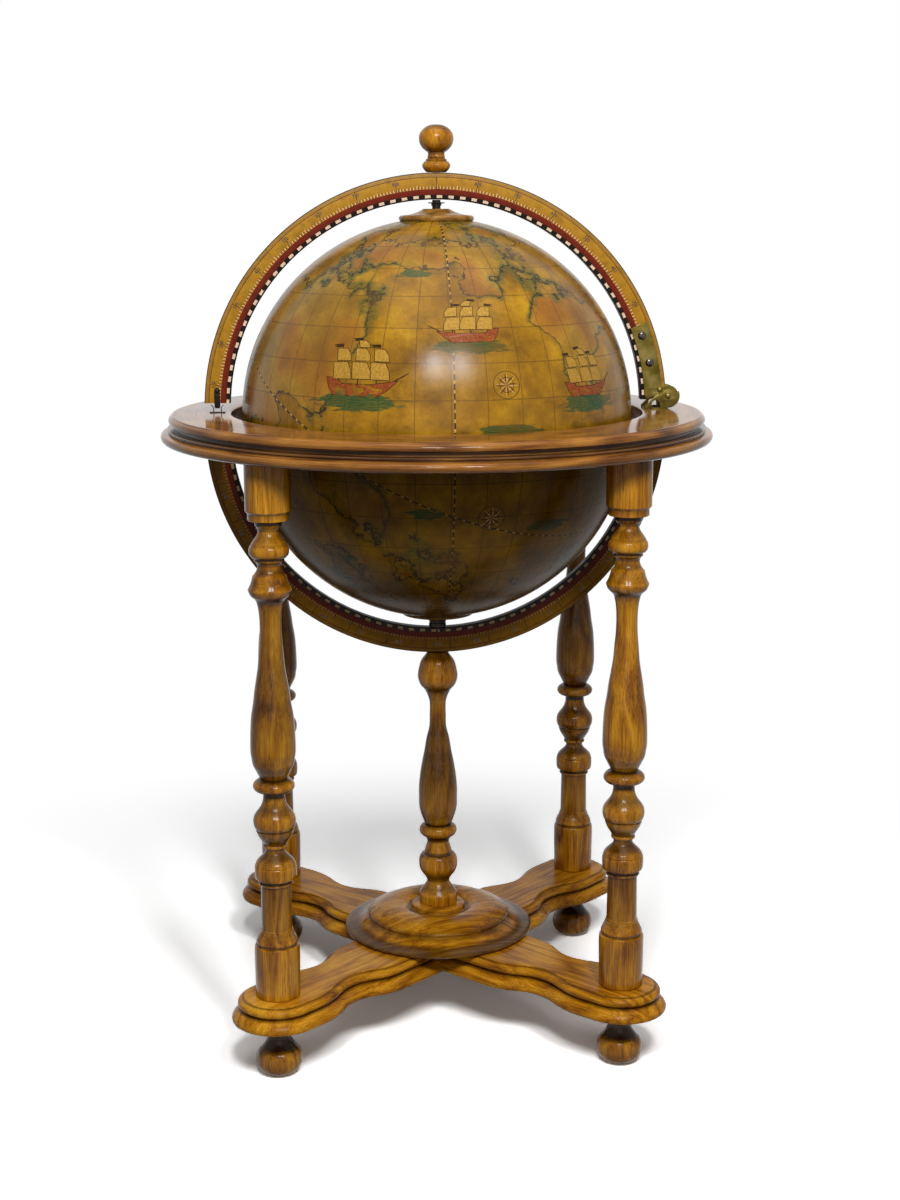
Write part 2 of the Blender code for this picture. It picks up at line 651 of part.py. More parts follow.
def bowl(parent):
    """Lower half of the globe with its rim, glass tray and bottle shelf."""
    band = PARTING_HEIGHT - SEAT_GAP / 2 - BOWL_CENTRE_HEIGHT
    rim_mark = BOWL_RIM_HEIGHT - band
    shell = turned_mesh(wall_profile(band, [rim_mark, SHELF_DEPTH]), GLOBE_STEPS)
    centre = (0, 0, BOWL_CENTRE_HEIGHT)
    place(shell, "bowl_shell", GLOBE_PRINT, centre, (math.pi, 0, 0), parent)

    outer = math.sqrt(INNER_GLOBE_RADIUS ** 2 - rim_mark ** 2) - SEAT_GAP
    inner = outer - RIM_WIDTH
    ledge = inner - RIM_LEDGE_WIDTH
    ledge_top = band - TRAY_DEPTH - TRAY_THICKNESS
    rim = [
        (inner, band), (outer, band), (outer, -rim_mark), (ledge, -rim_mark),
        (ledge, ledge_top), (inner, ledge_top),
    ]
    mesh = turned_mesh(rim, GLOBE_STEPS, closed=True)
    place(mesh, "bowl_rim", INNER_WOOD, centre, parent=parent)

    tray_radius = inner - SEAT_GAP
    glass_circle = tray_radius - TRAY_EDGE_WEB - GLASS_HOLE_RADIUS
    well = glass_circle - GLASS_HOLE_RADIUS - TRAY_WELL_WEB
    holes = [circle((0, 0), well, WELL_STEPS)]
    for i in range(GLASS_COUNT):
        angle = 2 * math.pi * (i + 0.5) / GLASS_COUNT
        spot = (glass_circle * math.cos(angle), glass_circle * math.sin(angle))
        holes.append(circle(spot, GLASS_HOLE_RADIUS, LEG_STEPS))
    tray = plate_mesh(circle((0, 0), tray_radius, GLOBE_STEPS), TRAY_THICKNESS, holes)
    tray_middle = BOWL_CENTRE_HEIGHT + ledge_top + SEAT_GAP + TRAY_THICKNESS / 2
    place(tray, "glass_tray", INNER_WOOD, (0, 0, tray_middle), parent=parent)

    finger = [circle((0, 0), SHELF_FINGER_RADIUS, LEG_STEPS)]
    shelf = plate_mesh(circle((0, 0), SHELF_RADIUS, GLOBE_STEPS), SHELF_THICKNESS, finger)
    shelf_middle = BOWL_CENTRE_HEIGHT - SHELF_DEPTH + SHELF_THICKNESS / 2
    place(shelf, "bottle_shelf", INNER_WOOD, (0, 0, shelf_middle), parent=parent)


# Hinge, in the meridian's plane: x out from the globe's axis, y up from the floor

def hinge_point(distance, angle):
    """A point at a distance and an angle from the hinge's axis."""
    return (HINGE_REACH + distance * math.cos(angle), HINGE_HEIGHT + distance * math.sin(angle))


def leaf_outline():
    """Brass leaf along the lid's arc, with a round lobe at the hinge's axis."""
    centre = (0, UPPER_MERIDIAN_HEIGHT)
    inner = MERIDIAN_INNER_RADIUS + LEAF_INSET
    outer = inner + LEAF_WIDTH
    top = math.asin(LEAF_TOP_RISE / inner)
    foot = math.asin((LEAF_FOOT_RISE + LEAF_CORNER_RADIUS) / inner)
    down = arc(centre, inner, top, foot, SMALL_ARC_SEGMENTS)
    corner = (down[-1][0] + LEAF_CORNER_RADIUS, down[-1][1])
    rounded = arc(corner, LEAF_CORNER_RADIUS, math.pi, 3 * math.pi / 2, 3)
    lobe = arc((HINGE_REACH, HINGE_HEIGHT), LEAF_LOBE_RADIUS,
               LEAF_LOBE_START_ANGLE, LEAF_LOBE_END_ANGLE, LOBE_SEGMENTS)
    shoulder = math.asin((lobe[-1][1] - UPPER_MERIDIAN_HEIGHT) / outer)
    return down + rounded[1:] + lobe + arc(centre, outer, shoulder, top, SMALL_ARC_SEGMENTS)


def cheek_outline():
    """Side of the bracket: arched notch, lobe, stop shoulder, neck and sloping back."""
    base = TABLE_SEAT_HEIGHT
    left = HINGE_REACH - BRACKET_REACH
    axis = (HINGE_REACH, HINGE_HEIGHT)
    notch = (HINGE_REACH - NOTCH_OFFSET, base + NOTCH_RISE)
    outline = [(left, base), (notch[0] - NOTCH_RADIUS, base)]
    outline += arc(notch, NOTCH_RADIUS, math.pi, 0, SMALL_ARC_SEGMENTS)
    outline += [(notch[0] + NOTCH_RADIUS, base), (HINGE_REACH, base)]
    outline += arc(axis, BRACKET_LOBE_RADIUS, -math.pi / 2, STOP_SHOULDER_ANGLE, LOBE_SEGMENTS)
    outline += arc(axis, BRACKET_NECK_RADIUS, STOP_SHOULDER_ANGLE, BRACKET_NECK_ANGLE,
                   SMALL_ARC_SEGMENTS)
    outline += [
        (HINGE_REACH - BRACKET_LOBE_RADIUS, base + BRACKET_SHOULDER_RISE),
        (left, base + BRACKET_TIP_RISE),
    ]
    return outline


def hinge(lid):
    """Riveted pivot hinge: two leaves on the arc between the cheeks of a folded bracket."""
    axis = (HINGE_REACH, HINGE_HEIGHT)
    stop = hinge_point(STOP_DISTANCE, STOP_RIVET_ANGLE)
    pivot_hole = circle(axis, RIVET_RADIUS + RIVET_GAP, PIN_STEPS)
    stop_hole = circle(stop, STOP_RADIUS + RIVET_GAP, PIN_STEPS)
    leaf_depth = LEAF_FACE + BRASS_THICKNESS / 2
    cheek_depth = BRACKET_FACE + BRASS_THICKNESS / 2
    half_width = BRACKET_FACE + BRASS_THICKNESS
    for side, sign in (("front", -1), ("rear", 1)):
        leaf = plate_mesh(leaf_outline(), BRASS_THICKNESS, [pivot_hole, stop_hole])
        upright(leaf, f"hinge_leaf_{side}", BRASS, sign * leaf_depth, lid)
        rivet(f"hinge_pivot_rivet_{side}", axis, sign, half_width + SEAT_GAP,
              RIVET_RADIUS, RIVET_HEAD_RADIUS, None)
        rivet(f"hinge_stop_rivet_{side}", stop, sign, BRACKET_FACE,
              STOP_RADIUS, STOP_HEAD_RADIUS, lid)

    cheek = plate_mesh(cheek_outline(), BRASS_THICKNESS, [pivot_hole])
    bracket = upright(cheek, "hinge_bracket", BRASS, -cheek_depth)
    base = TABLE_SEAT_HEIGHT
    plate = box_cutter(
        "hinge_bracket_plate",
        (BRACKET_REACH, 2 * half_width - BRASS_THICKNESS, BRACKET_PLATE_THICKNESS),
        (HINGE_REACH - BRACKET_REACH / 2, 0, base + BRACKET_PLATE_THICKNESS / 2),
    )
    far_cheek = hidden("hinge_bracket_rear_cheek", cheek.copy())
    far_cheek.location = (0, cheek_depth, 0)
    far_cheek.rotation_euler = (math.pi / 2, 0, 0)
    combine(bracket, [plate, far_cheek], "UNION")


def rivet(name, centre, sign, shoulder, radius, head_radius, parent):
    """Rivet along Y: shank from the leaf's inner face, and a low head outside its shoulder."""
    head_top = shoulder + RIVET_HEAD_HEIGHT
    profile = [
        (0, head_top), (head_radius - RIVET_HEAD_HEIGHT / 2, head_top),
        (head_radius, shoulder), (radius, shoulder), (radius, LEAF_FACE), (0, LEAF_FACE),
    ]
    mesh = turned_mesh(profile, PIN_STEPS)
    location = (centre[0], 0, centre[1])
    place(mesh, name, BRASS, location, (-sign * math.pi / 2, 0, 0), parent)


# Spring catch opposite the hinge

def catch(lid):
    """Tongue on the lid's arc between the two leaves of a fork on the table."""
    half = TONGUE_WIDTH / 2
    middle = -MERIDIAN_MID_RADIUS
    depth = -(LEAF_FACE + BRASS_THICKNESS / 2)
    crown_centre = (middle, UPPER_MERIDIAN_END + TONGUE_RISE - half)
    tip = UPPER_MERIDIAN_END - TONGUE_DROP
    outline = arc(crown_centre, half, 0, math.pi, SMALL_ARC_SEGMENTS)
    outline += [(middle - half, tip), (middle + half, tip)]
    tongue = plate_mesh(outline, BRASS_THICKNESS)
    upright(tongue, "catch_tongue", BLACK_IRON, depth, lid)

    base = TABLE_SEAT_HEIGHT
    slot = half + FORK_CLEARANCE
    leaf = slot + FORK_LEAF_THICKNESS
    floor = base + FORK_BASE_THICKNESS
    waist = base + FORK_HEIGHT / 2
    tip = base + FORK_HEIGHT
    right = [
        (FORK_BASE_WIDTH / 2, base), (FORK_BASE_WIDTH / 2, floor), (leaf, floor), (leaf, waist),
        (leaf + FORK_FLARE, tip), (slot + FORK_FLARE, tip), (slot, waist), (slot, floor),
    ]
    outline = [(middle + x, y) for x, y in right] + [(middle - x, y) for x, y in reversed(right)]
    fork = plate_mesh(outline, FORK_DEPTH)
    upright(fork, "catch_fork", BLACK_IRON, depth)


# The whole object

def meridians(lid):
    """The two halves of the meridian ring and the finial on top."""
    lower_end = TABLE_UNDERSIDE_HEIGHT - SEAT_GAP
    lower = plate_mesh(half_ring(LOWER_MERIDIAN_HEIGHT, lower_end), MERIDIAN_THICKNESS)
    upright(lower, "meridian_lower", SCALE_PRINT, 0)
    upper = plate_mesh(half_ring(UPPER_MERIDIAN_HEIGHT, UPPER_MERIDIAN_END), MERIDIAN_THICKNESS)
    upright(upper, "meridian_upper", SCALE_PRINT, 0, lid)
    profile = spindle(FINIAL_SHARES, FINIAL_HEIGHT, FINIAL_RADIUS)
    profile[0] = (0, FINIAL_HEIGHT)
    finial_base = UPPER_MERIDIAN_HEIGHT + MERIDIAN_OUTER_RADIUS + SEAT_GAP
    place(turned_mesh(profile, LEG_STEPS), "finial", STAINED_WOOD, (0, 0, finial_base), parent=lid)


def globe_bar():
    """Build every sub-part of the stand, the lid and the two globe halves."""
    lid = axis_empty("lid_hinge_axis", (HINGE_REACH, 0, HINGE_HEIGHT))
    dome_axis = axis_empty("dome_spin_axis", (0, 0, DOME_CENTRE_HEIGHT), lid)
    bowl_axis = axis_empty("bowl_spin_axis", (0, 0, BOWL_CENTRE_HEIGHT))
    bun_feet()
    cross_boards()
    turned_stand()
    table_ring()
    meridians(lid)
    dome(dome_axis)
    bowl(bowl_axis)
    caps_and_pivots(lid, dome_axis, bowl_axis)
    hinge(lid)
    catch(lid)


globe_bar()
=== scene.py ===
import math

import bpy
import numpy as np
from mathutils import Matrix, Vector


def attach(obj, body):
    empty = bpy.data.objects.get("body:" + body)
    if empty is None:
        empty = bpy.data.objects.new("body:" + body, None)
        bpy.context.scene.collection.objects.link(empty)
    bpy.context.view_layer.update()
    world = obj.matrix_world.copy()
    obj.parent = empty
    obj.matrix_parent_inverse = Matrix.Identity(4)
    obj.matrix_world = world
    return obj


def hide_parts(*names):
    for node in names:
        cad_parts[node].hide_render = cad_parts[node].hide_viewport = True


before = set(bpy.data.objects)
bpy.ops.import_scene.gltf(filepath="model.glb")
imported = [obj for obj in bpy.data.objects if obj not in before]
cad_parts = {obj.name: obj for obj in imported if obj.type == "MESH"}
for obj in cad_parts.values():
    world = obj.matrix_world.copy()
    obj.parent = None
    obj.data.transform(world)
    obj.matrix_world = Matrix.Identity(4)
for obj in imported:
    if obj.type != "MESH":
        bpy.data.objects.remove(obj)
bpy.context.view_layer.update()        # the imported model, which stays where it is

print("frame loaded:", len(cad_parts), "nodes")

mm = 0.001

# Places shared by several pieces, in mm
globe = {
    "radius": 200,
    "wall": 4,
    "domeHeight": 640.3,     # centre of the upper half's sphere
    "bowlHeight": 631.7,     # centre of the lower half's sphere
    "parting": 636,
    "partingGap": 0.3,
}
corners = {
    "front_left": (-172.2, -172.2),
    "front_right": (172.2, -172.2),
    "rear_left": (-172.2, 172.2),
    "rear_right": (172.2, 172.2),
}
sides = (("Front", -1), ("Rear", 1))


# Small tools

def pickOnly(piece=None):
    # object mode, with one piece picked or none
    if bpy.context.mode != "OBJECT":
        bpy.ops.object.mode_set(mode="OBJECT")
    bpy.ops.object.select_all(action="DESELECT")
    if piece:
        piece.select_set(True)
        bpy.context.view_layer.objects.active = piece


def openUp(piece):
    pickOnly(piece)
    bpy.ops.object.mode_set(mode="EDIT")
    bpy.ops.mesh.select_mode(type="VERT")
    bpy.ops.mesh.select_all(action="SELECT")


def named(piece, name):
    piece.name = name
    piece.data.name = name
    return piece


def addPlane(name, size, place):
    pickOnly()
    bpy.ops.mesh.primitive_plane_add(size=size, location=place)
    return named(bpy.context.object, name)


def firstPoint(name, place):
    # a tiny plane merged to one point, to draw from
    piece = addPlane(name, mm, place)
    bpy.ops.object.transform_apply(location=True, rotation=True, scale=True)
    openUp(piece)
    bpy.ops.mesh.merge(type="CENTER")
    return piece


def drawOn(points):
    for before, after in zip(points, points[1:]):
        step = Vector(after) - Vector(before)
        bpy.ops.mesh.extrude_region_move(TRANSFORM_OT_translate={"value": step})


def curveThrough(run, gap):
    # a smooth line through a run of points, which doesn't swing past them
    points = [Vector(point) for point in run]
    if len(points) < 3:
        return points
    points = [2 * points[0] - points[1]] + points + [2 * points[-1] - points[-2]]
    made = []
    for a, b, c, d in zip(points, points[1:], points[2:], points[3:]):
        toB = (b - a).length ** 0.5
        toC = toB + (c - b).length ** 0.5
        toD = toC + (d - c).length ** 0.5
        count = max(1, round((c - b).length / gap))
        for i in range(count):
            t = toB + (toC - toB) * i / count
            ab = a + (b - a) * (t / toB)
            bc = b + (c - b) * ((t - toB) / (toC - toB))
            cd = c + (d - c) * ((t - toC) / (toD - toC))
            abc = ab + (bc - ab) * (t / toC)
            bcd = bc + (cd - bc) * ((t - toB) / (toD - toB))
            made.append(abc + (bcd - abc) * ((t - toB) / (toC - toB)))
    made.append(points[-2])
    return made


def outlineOf(runs, gap=1.6):
    # runs of (height, radius) in mm, smooth inside a run and sharp between two, as (radius, height) in m
    made = []
    for run in runs:
        for height, radius in curveThrough(run, gap):
            point = (max(radius, 0) * mm, height * mm)
            if not made or math.dist(point, made[-1]) > 0.02 * mm:
                made.append(point)
    return made


def closeAndSmooth(piece, sharp=32):
    openUp(piece)
    bpy.ops.mesh.remove_doubles(threshold=0.01 * mm)
    bpy.ops.mesh.normals_make_consistent(inside=False)
    pickOnly(piece)
    bpy.ops.object.shade_smooth_by_angle(angle=math.radians(sharp))


def turnOnLathe(name, outline, steps, centre=(0, 0), sharp=32):
    # the outline spun round the upright through the centre
    x, y = centre[0] * mm, centre[1] * mm
    points = [(x + radius, y, height) for radius, height in outline]
    piece = firstPoint(name, points[0])
    drawOn(points)
    bpy.ops.mesh.select_all(action="SELECT")
    bpy.ops.mesh.spin(steps=steps, angle=2 * math.pi, center=(x, y, 0), axis=(0, 0, 1))
    closeAndSmooth(piece, sharp)
    return piece


def copyTo(piece, name, shift=(0, 0)):
    pickOnly(piece)
    bpy.ops.object.duplicate(linked=False)
    made = named(bpy.context.object, name)
    openUp(made)
    bpy.ops.transform.translate(value=(shift[0] * mm, shift[1] * mm, 0))
    pickOnly()
    return made


def toCorners(piece, name):
    # the front left piece and its copies at the other corners, before any of them is handed over
    first = corners["front_left"]
    made = {"front_left": piece}
    for corner, place in corners.items():
        if corner not in made:
            shift = (place[0] - first[0], place[1] - first[1])
            made[corner] = copyTo(piece, name + corner.title().replace("_", ""), shift)
    return made


def joinAll(name, pieces):
    pickOnly(pieces[0])
    for piece in pieces:
        piece.select_set(True)
    bpy.ops.object.join()
    return named(bpy.context.object, name)


def cutWith(piece, cutter, operation="DIFFERENCE"):
    cut = piece.modifiers.new("cut", "BOOLEAN")
    cut.object = cutter
    cut.operation = operation
    cut.solver = "EXACT"
    pickOnly(piece)
    bpy.ops.object.modifier_apply(modifier=cut.name)
    bpy.data.objects.remove(cutter, do_unlink=True)


def blockAt(name, low, high, turn=0):
    # a box between two corners in mm, turned about the upright, for cutting
    pickOnly()
    bpy.ops.mesh.primitive_cube_add(size=1, location=[(a + b) / 2 * mm for a, b in zip(low, high)])
    piece = named(bpy.context.object, name)
    piece.scale = [(b - a) * mm for a, b in zip(low, high)]
    bpy.ops.object.transform_apply(location=True, rotation=True, scale=True)
    piece.data.transform(turnBy(turn, "Z"))
    return piece


def meshOf(name, curve):
    piece = bpy.data.objects.new(name, curve)
    bpy.context.scene.collection.objects.link(piece)
    pickOnly(piece)
    bpy.ops.object.convert(target="MESH")
    return bpy.context.object


def flatMesh(name, rings, extrude, edge=0):
    # a flat mesh in XY from closed rings in mm, holes after the outline, with softened edges
    curve = bpy.data.curves.new(name, "CURVE")
    curve.dimensions = "2D"
    curve.fill_mode = "BOTH"
    curve.extrude = extrude * mm
    if edge:
        curve.bevel_depth = edge * mm
        curve.bevel_resolution = 2
        curve.offset = -edge * mm
    for ring in rings:
        spline = curve.splines.new("POLY")
        spline.points.add(len(ring) - 1)
        for point, (x, y) in zip(spline.points, ring):
            point.co = (x * mm, y * mm, 0, 1)
        spline.use_cyclic_u = True
    return meshOf(name, curve)


def plateOf(name, rings, thickness, edge=0.3):
    piece = flatMesh(name, rings, thickness / 2 - edge, edge)
    closeAndSmooth(piece)
    return piece


def moveBy(x, y, z):
    return Matrix.Translation((x * mm, y * mm, z * mm))


def turnBy(degrees, axis):
    return Matrix.Rotation(math.radians(degrees), 4, axis)


def standUp(piece, depth):
    # turns a plate from XY into XZ, its middle at a depth along Y in mm
    piece.data.transform(moveBy(0, depth, 0) @ turnBy(90, "X"))
    return piece


def arcPoints(centre, radius, start, end, count):
    turns = [math.radians(start + (end - start) * i / count) for i in range(count + 1)]
    return [(centre[0] + radius * math.cos(a), centre[1] + radius * math.sin(a)) for a in turns]


def ringPoints(centre, radius, count):
    return arcPoints(centre, radius, 0, 360, count)[:-1]


def zeroToOne(value):
    return min(1, max(0, value))


def peakAt(value, middle, reach):
    # 1 at the middle, falling to 0 at the reach
    return max(0, 1 - abs(value - middle) / reach)


def markStainAndShade(piece, rule):
    # how dark the stain and the painted shade lie at each point, from its distance out and its height in mm
    marks = piece.data.attributes.new("recess", "FLOAT", "POINT").data
    for mark, vertex in zip(marks, piece.data.vertices):
        mark.value = rule(math.hypot(vertex.co.x, vertex.co.y) / mm, vertex.co.z / mm)


def markRecesses(piece, outline, centre=(0, 0), reach=4.5, depth=5):
    # how far each point lies below the crests beside it, for the darker stain and painted shade there
    sunk = []
    for radius, height in outline:
        crest = max(r for r, h in outline if abs(h - height) < reach * mm)
        sunk.append(zeroToOne((crest - radius) / (depth * mm)))
    marks = piece.data.attributes.new("recess", "FLOAT", "POINT").data
    known = {}
    for mark, vertex in zip(marks, piece.data.vertices):
        radius = math.hypot(vertex.co.x - centre[0] * mm, vertex.co.y - centre[1] * mm)
        key = (round(vertex.co.z, 5), round(radius, 4))
        if key not in known:
            spot = (radius, vertex.co.z)
            known[key] = sunk[min(range(len(outline)), key=lambda k: math.dist(spot, outline[k]))]
        mark.value = known[key]


def stainDarker(piece, low, high, amount):
    # a band between two heights that took more stain
    marks = piece.data.attributes["recess"].data
    for mark, vertex in zip(marks, piece.data.vertices):
        part = (vertex.co.z / mm - low) / (high - low)
        if 0 < part < 1:
            mark.value = min(1, mark.value + amount * math.sin(math.pi * part) ** 0.5)


def hand(piece, material, body, slot, *nodes):
    # gives a finished piece its finish and its body, and hides the nodes that it stands for
    piece.data.materials.clear()
    piece.data.materials.append(material)
    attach(piece, body)
    if nodes:
        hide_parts(*nodes)
    return piece


# Materials

def fromHex(code):
    parts = [int(code[i:i + 2], 16) / 255 for i in (1, 3, 5)]
    return [p / 12.92 if p <= 0.04045 else ((p + 0.055) / 1.055) ** 2.4 for p in parts] + [1]


def giveInputs(tree, node, inputs):
    # each a value, a colour code, a socket, or a node whose first output in use is linked
    for name, value in inputs.items():
        if isinstance(value, bpy.types.Node):
            value = next(output for output in value.outputs if output.enabled)
        if isinstance(value, bpy.types.NodeSocket):
            tree.links.new(value, node.inputs[name])
        else:
            node.inputs[name].default_value = fromHex(value) if isinstance(value, str) else value


def addNode(tree, kind, inputs=None, stops=None, **settings):
    # one node with its settings, the stops of its ramp, its values and its links
    made = tree.nodes.new("ShaderNode" + kind)
    for name, value in settings.items():
        setattr(made, name, value)
    if stops:
        while len(made.color_ramp.elements) < len(stops):
            made.color_ramp.elements.new(0.5)
        for element, (place, colour) in zip(made.color_ramp.elements, stops):
            element.position = place
            element.color = fromHex(colour) if isinstance(colour, str) else (colour, colour, colour, 1)
    giveInputs(tree, made, inputs or {})
    return made


def startMaterial(name):
    material = bpy.data.materials.new(name)
    material.use_nodes = True
    tree = material.node_tree
    place = addNode(tree, "TexCoord").outputs["Object"]
    return material, tree, tree.nodes["Principled BSDF"], place


# Beech, turned and stained golden brown, then lacquered: fine dark grain along the piece, darker
# stain and painted shade where the piece is marked, mostly its recesses, a clear gloss coat. The
# grain is a direction on the piece, or follows the table's ring.
def stainedBeech(name, stops, grain=(0, 0, 1), alongRing=False, pores=0.48, recess=0.92, gloss=0.24,
                 bump=0.06, specular=0.1):
    material, tree, shader, place = startMaterial(name)
    if alongRing:
        x, y, z = addNode(tree, "SeparateXYZ", {0: place}).outputs
        flat = addNode(tree, "CombineXYZ", {0: x, 1: y})
        out = addNode(tree, "VectorMath", {0: flat}, operation="LENGTH")
        turn = addNode(tree, "Math", {0: y, 1: x}, operation="ARCTAN2")
        length = addNode(tree, "Math", {0: turn, 1: 240 * mm}, operation="MULTIPLY")
        place = addNode(tree, "CombineXYZ", {0: out, 1: z, 2: length})
    # the grain is brought to the pattern's long way, which is Z
    turned = Vector(grain).rotation_difference(Vector((0, 0, 1))).to_euler("XYZ")
    board = addNode(tree, "Mapping", {"Vector": place, "Rotation": turned})
    noises = []
    for across, along, detail, roughness in (       # sizes in mm
        (1.2, 45, 5, 0.6),      # streaks
        (30, 210, 2, 0.45),     # slow figure of the board
        (0.8, 10, 2, 0.5),      # pores
    ):
        scale = (1 / (across * mm), 1 / (across * mm), 1 / (along * mm))
        stretched = addNode(tree, "Mapping", {"Vector": board, "Scale": scale})
        noises.append(addNode(tree, "TexNoise", {"Vector": stretched, "Scale": 1, "Detail": detail,
                                                 "Roughness": roughness}))
    streak, figure, pore = noises
    # growth rings: level lines of the figure, about 4 mm apart
    rings = addNode(tree, "Math", {0: figure, 1: 13}, operation="MULTIPLY")
    ringWave = addNode(tree, "Math", {0: rings, 1: 1}, operation="PINGPONG")
    patch = addNode(tree, "TexNoise", {"Vector": place, "Scale": 1 / (60 * mm), "Detail": 3})
    blend = 0.09
    for part, share in ((ringWave, 0.13), (streak, 0.40), (patch, 0.34)):
        blend = addNode(tree, "Math", {0: part, 1: share, 2: blend}, operation="MULTIPLY_ADD")
    colour = addNode(tree, "ValToRGB", {0: blend}, stops=stops)
    poreDark = addNode(tree, "MapRange", {0: pore, 1: 0.56, 2: 0.70, 3: 0, 4: pores})
    colour = addNode(tree, "Mix", {0: poreDark, 6: colour, 7: "#351A04"}, data_type="RGBA")
    # the marks: darker stain and painted shade in recesses, grooves and the feet's necks
    darkening = addNode(tree, "Attribute", attribute_name="recess").outputs["Fac"]
    recessStainAndShade = addNode(tree, "MapRange", {0: darkening, 1: 0.05, 2: 0.9, 3: 0, 4: recess})
    colour = addNode(tree, "Mix", {0: recessStainAndShade, 6: colour, 7: "#221003"}, data_type="RGBA")
    dull = addNode(tree, "MapRange", {0: streak, 1: 0.3, 2: 0.7, 3: gloss + 0.04, 4: gloss - 0.04})
    relief = addNode(tree, "Bump", {"Height": streak, "Strength": bump, "Distance": 0.4 * mm})
    giveInputs(tree, shader, {"Base Color": colour, "Roughness": dull, "Normal": relief,
                              "Specular IOR Level": specular})
    return material


beechStops = [(0.39, "#5C3006"), (0.475, "#8E570B"), (0.56, "#AF7412"), (0.68, "#CF9628")]
tableStops = [(0.38, "#4A280E"), (0.475, "#6E431A"), (0.56, "#8C5A24"), (0.70, "#A87632")]
boardStops = [(0.39, "#643507"), (0.475, "#985E0C"), (0.56, "#BA7C14"), (0.68, "#D89E2A")]
capStops = [(0.39, "#4C2E0E"), (0.475, "#74501F"), (0.56, "#90682E"), (0.68, "#AC8640")]
innerStops = [(0.34, "#5E3510"), (0.48, "#8A5820"), (0.62, "#A87430"), (0.78, "#BD8A42")]
turnedBeech = stainedBeech("turnedLacqueredBeech", beechStops, gloss=0.19, specular=0.15)
# the disc and the caps are turned from boards, so their grain lies flat
flatGrainBeech = stainedBeech("turnedBeechFlatGrain", beechStops, grain=(1, 0.25, 0), gloss=0.22)
capBeech = stainedBeech("turnedCapBeech", capStops, grain=(1, 0.25, 0), pores=0.4, specular=0.12)
boardAlongLeft = stainedBeech("lacqueredBeechBoardLeft", boardStops, grain=(1, -1, 0), recess=0.85,
                              specular=0.07)
boardAlongRight = stainedBeech("lacqueredBeechBoardRight", boardStops, grain=(1, 1, 0), recess=0.85,
                               specular=0.07)
tableBeech = stainedBeech("polishedTableBeech", tableStops, alongRing=True, pores=0.35, recess=0.75,
                          gloss=0.12, bump=0.03, specular=0.11)
innerBeech = stainedBeech("satinInnerBeech", innerStops, alongRing=True, pores=0.35, recess=0.4,
                          gloss=0.40, bump=0.08, specular=0.25)
trayBeech = stainedBeech("satinTrayVeneer", innerStops, grain=(1, 0, 0), pores=0.35, recess=0.4,
                         gloss=0.38, bump=0.08, specular=0.25)


# Brass sheet, pressed and left to age: dull olive patches, fine scratches along the sheet
def agedBrass():
    material, tree, shader, place = startMaterial("agedPressedBrass")
    patches = addNode(tree, "TexNoise", {"Vector": place, "Scale": 1 / (14 * mm), "Detail": 5,
                                         "Roughness": 0.55})
    colour = addNode(tree, "ValToRGB", {0: patches},
                     stops=[(0.34, "#4C4119"), (0.5, "#605324"), (0.68, "#766838")])
    dull = addNode(tree, "MapRange", {0: patches, 1: 0.3, 2: 0.7, 3: 0.46, 4: 0.34})
    scale = (1 / (0.6 * mm), 1 / (0.6 * mm), 1 / (9 * mm))
    stretched = addNode(tree, "Mapping", {"Vector": place, "Scale": scale})
    scratch = addNode(tree, "TexNoise", {"Vector": stretched, "Scale": 1, "Detail": 3})
    relief = addNode(tree, "Bump", {"Height": scratch, "Strength": 0.12, "Distance": 0.2 * mm})
    giveInputs(tree, shader, {"Base Color": colour, "Roughness": dull, "Normal": relief, "Metallic": 1})
    return material


# Mild steel, blackened by heat and oil: near black, slightly mottled, satin or polished
def blackenedSteel(name, dark, light, dullest, glossiest):
    material, tree, shader, place = startMaterial(name)
    patches = addNode(tree, "TexNoise", {"Vector": place, "Scale": 1 / (3 * mm), "Detail": 4})
    colour = addNode(tree, "ValToRGB", {0: patches}, stops=[(0.3, dark), (0.7, light)])
    dull = addNode(tree, "MapRange", {0: patches, 1: 0.3, 2: 0.7, 3: dullest, 4: glossiest})
    giveInputs(tree, shader, {"Base Color": colour, "Roughness": dull, "Metallic": 0.9})
    return material


brass = agedBrass()
blackSteel = blackenedSteel("blackenedSteel", "#15120F", "#2C2722", 0.42, 0.26)
screwSteel = blackenedSteel("polishedDarkSteel", "#2E2B28", "#57534E", 0.22, 0.14)
print("plain materials made")


# Turned legs

